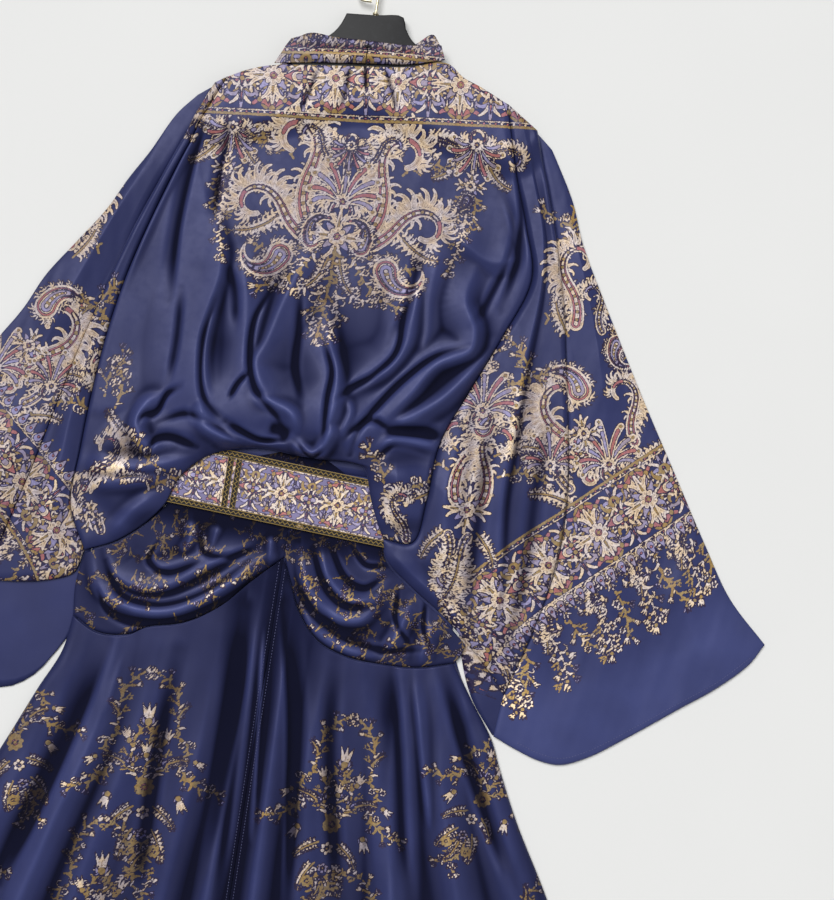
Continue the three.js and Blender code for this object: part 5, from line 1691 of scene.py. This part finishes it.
def tube(name, points, radius, material, nodes=()):
    """A round wire along points, with closed ends."""
    line = bpy.data.curves.new(name, "CURVE")
    line.dimensions = "3D"
    line.bevel_depth = radius * MM
    line.bevel_resolution = 4
    line.resolution_u = 8
    line.use_fill_caps = True
    spline = line.splines.new("NURBS")
    smooth = Route([p[:2] for p in points]).at(np.linspace(0, 1, 6 * len(points)))
    steps = np.linspace(0, 1, len(points))
    heights = np.interp(np.linspace(0, 1, len(smooth)), steps, [p[2] for p in points])
    spline.points.add(len(smooth) - 1)
    for point, (x, y), z in zip(spline.points, smooth, heights):
        point.co = (x * MM, y * MM, z * MM, 1)
    spline.order_u = 3
    spline.use_endpoint_u = True
    holder = bpy.data.objects.new(name + "_line", line)
    bpy.context.scene.collection.objects.link(holder)
    mesh = bpy.data.meshes.new_from_object(holder.evaluated_get(bpy.context.evaluated_depsgraph_get()))
    bpy.data.objects.remove(holder)
    mesh.materials.clear()
    return new_piece(name, mesh, material, nodes)


def ring(name, centre, radius, thick, material):
    """A turned ring round the hook's foot, its axis along +Y."""
    work = bmesh.new()
    points = [work.verts.new((0, (thick * math.sin(a)) * MM, (radius + 0.5 * thick * math.cos(a)) * MM))
              for a in np.linspace(0, 2 * math.pi, 9)[:-1]]
    edges = [work.edges.new((points[k], points[(k + 1) % 8])) for k in range(8)]
    bmesh.ops.spin(work, geom=points + edges, cent=(0, 0, 0), axis=(0, 1, 0), angle=2 * math.pi, steps=28,
                   use_merge=True)
    bmesh.ops.remove_doubles(work, verts=work.verts, dist=0.01 * MM)
    bmesh.ops.recalc_face_normals(work, faces=work.faces)
    bmesh.ops.translate(work, verts=work.verts, vec=Vector(centre) * MM)
    mesh = bpy.data.meshes.new(name)
    work.to_mesh(mesh)
    work.free()
    return new_piece(name, mesh, material)


class DRESS_OT_neck_hook(bpy.types.Operator):
    """Makes the wire hook that closes the collar at the back of the neck"""

    bl_idname = "dress.neck_hook"
    bl_label = "Neck hook"

    def execute(self, context):
        low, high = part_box("neck_hook")
        height = (low[2] + high[2]) / 2 / MM
        wire = look("black lacquered wire", plated_wire, "#3A3A3E", 0.35)
        tube("neck_hook_wire", [(x, y, height) for x, y in NECK_HOOK_ROUTE], NECK_HOOK_WIRE, wire,
             ["neck_hook"])
        return {"FINISHED"}


NECK_HOOK_WIRE = 0.55  # radius of its wire
NECK_HOOK_ROUTE = [(5.6, 540.2), (9, 540.2), (12.6, 540.1), (14.2, 541.1), (12.6, 542.1), (9, 542),
                   (5.6, 542)]


class DRESS_OT_stage(bpy.types.Operator):
    """Makes the pale floor, the soft light and the camera over the dress"""

    bl_idname = "dress.stage"
    bl_label = "Stage"

    def execute(self, context):
        scene = context.scene
        work = bmesh.new()
        bmesh.ops.create_grid(work, x_segments=4, y_segments=4, size=5)
        bmesh.ops.translate(work, verts=work.verts, vec=(0, 0, -0.3 * MM))
        mesh = bpy.data.meshes.new("floor")
        work.to_mesh(mesh)
        work.free()
        floor = bpy.data.objects.new("floor", mesh)
        scene.collection.objects.link(floor)
        made, tree, shader = new_material("matte white board", Roughness=0.75)
        place = add(tree, "TexCoord").outputs["Object"]
        cloud = ranged(tree, noise(tree, place, 240, 2.0), 0.3, 0.7)
        pale = tuple(scene.dress_colours.floor)
        tree.links.new(mix(tree, cloud, tuple(c * 0.985 for c in pale), pale), shader.inputs["Base Color"])
        mesh.materials.append(made)

        for name, toward, power, spread in LAMPS:
            lamp = bpy.data.lights.new(name, "SUN")
            lamp.energy = power
            lamp.angle = math.radians(spread)
            holder = bpy.data.objects.new(name, lamp)
            holder.location = (0, 0, 2)
            holder.rotation_euler = Vector(toward).to_track_quat("-Z", "Y").to_euler()
            scene.collection.objects.link(holder)
        world = bpy.data.worlds.new("room")
        world.use_nodes = True
        world.node_tree.nodes["Background"].inputs["Color"].default_value = (0.93, 0.95, 1.0, 1)
        world.node_tree.nodes["Background"].inputs["Strength"].default_value = 0.16
        scene.world = world
        scene.view_settings.view_transform = "Standard"

        camera = bpy.data.cameras.new("overhead")
        camera.sensor_width = SENSOR
        camera.lens = SENSOR * CAMERA_HEIGHT / VIEW_LENGTH
        holder = bpy.data.objects.new("overhead", camera)
        holder.location = (*CAMERA_PLACE, CAMERA_HEIGHT)
        holder.rotation_euler = (0, 0, math.radians(CAMERA_TURN))
        scene.collection.objects.link(holder)
        scene.camera = holder
        return {"FINISHED"}


# name, direction, strength, angle in degrees that it seems to have
LAMPS = (("window", (0.34, -0.42, -1.0), 3.0, 44), ("fill", (-0.9, 0.3, -0.8), 0.35, 60))
CAMERA_PLACE = (0.1421, 0.0772)
CAMERA_TURN = 9  # degrees; the dress lies turned in the view
CAMERA_HEIGHT = 1.7
VIEW_LENGTH = 1.08  # the longer side of what the camera sees on the floor
SENSOR = 24


class DRESS_PT_panel(bpy.types.Panel):
    """Lists the dress's pieces and values"""

    bl_label = "Dress"
    bl_idname = "DRESS_PT_panel"
    bl_space_type = "VIEW_3D"
    bl_region_type = "UI"
    bl_category = "Dress"

    def draw(self, context):
        for group in (context.scene.dress_sizes, context.scene.dress_colours):
            for name in group.__annotations__:
                self.layout.prop(group, name)
        for operator in OPERATORS:
            self.layout.operator(operator.bl_idname)


OPERATORS = (DRESS_OT_bodice, DRESS_OT_sleeves, DRESS_OT_collar, DRESS_OT_hip_yoke, DRESS_OT_skirt,
             DRESS_OT_belt, DRESS_OT_hanger, DRESS_OT_neck_hook, DRESS_OT_stage)
CLASSES = (DressSizes, DressColours, *OPERATORS, DRESS_PT_panel)


def register():
    for made in CLASSES:
        bpy.utils.register_class(made)
    bpy.types.Scene.dress_sizes = PointerProperty(type=DressSizes)
    bpy.types.Scene.dress_colours = PointerProperty(type=DressColours)


def unregister():
    del bpy.types.Scene.dress_colours
    del bpy.types.Scene.dress_sizes
    for made in reversed(CLASSES):
        bpy.utils.unregister_class(made)


def main():
    register()
    for step in ("hip_yoke", "skirt", "belt", "bodice", "sleeves", "collar", "hanger", "neck_hook", "stage"):
        getattr(bpy.ops.dress, step)()


if __name__ == "__main__":
    main()
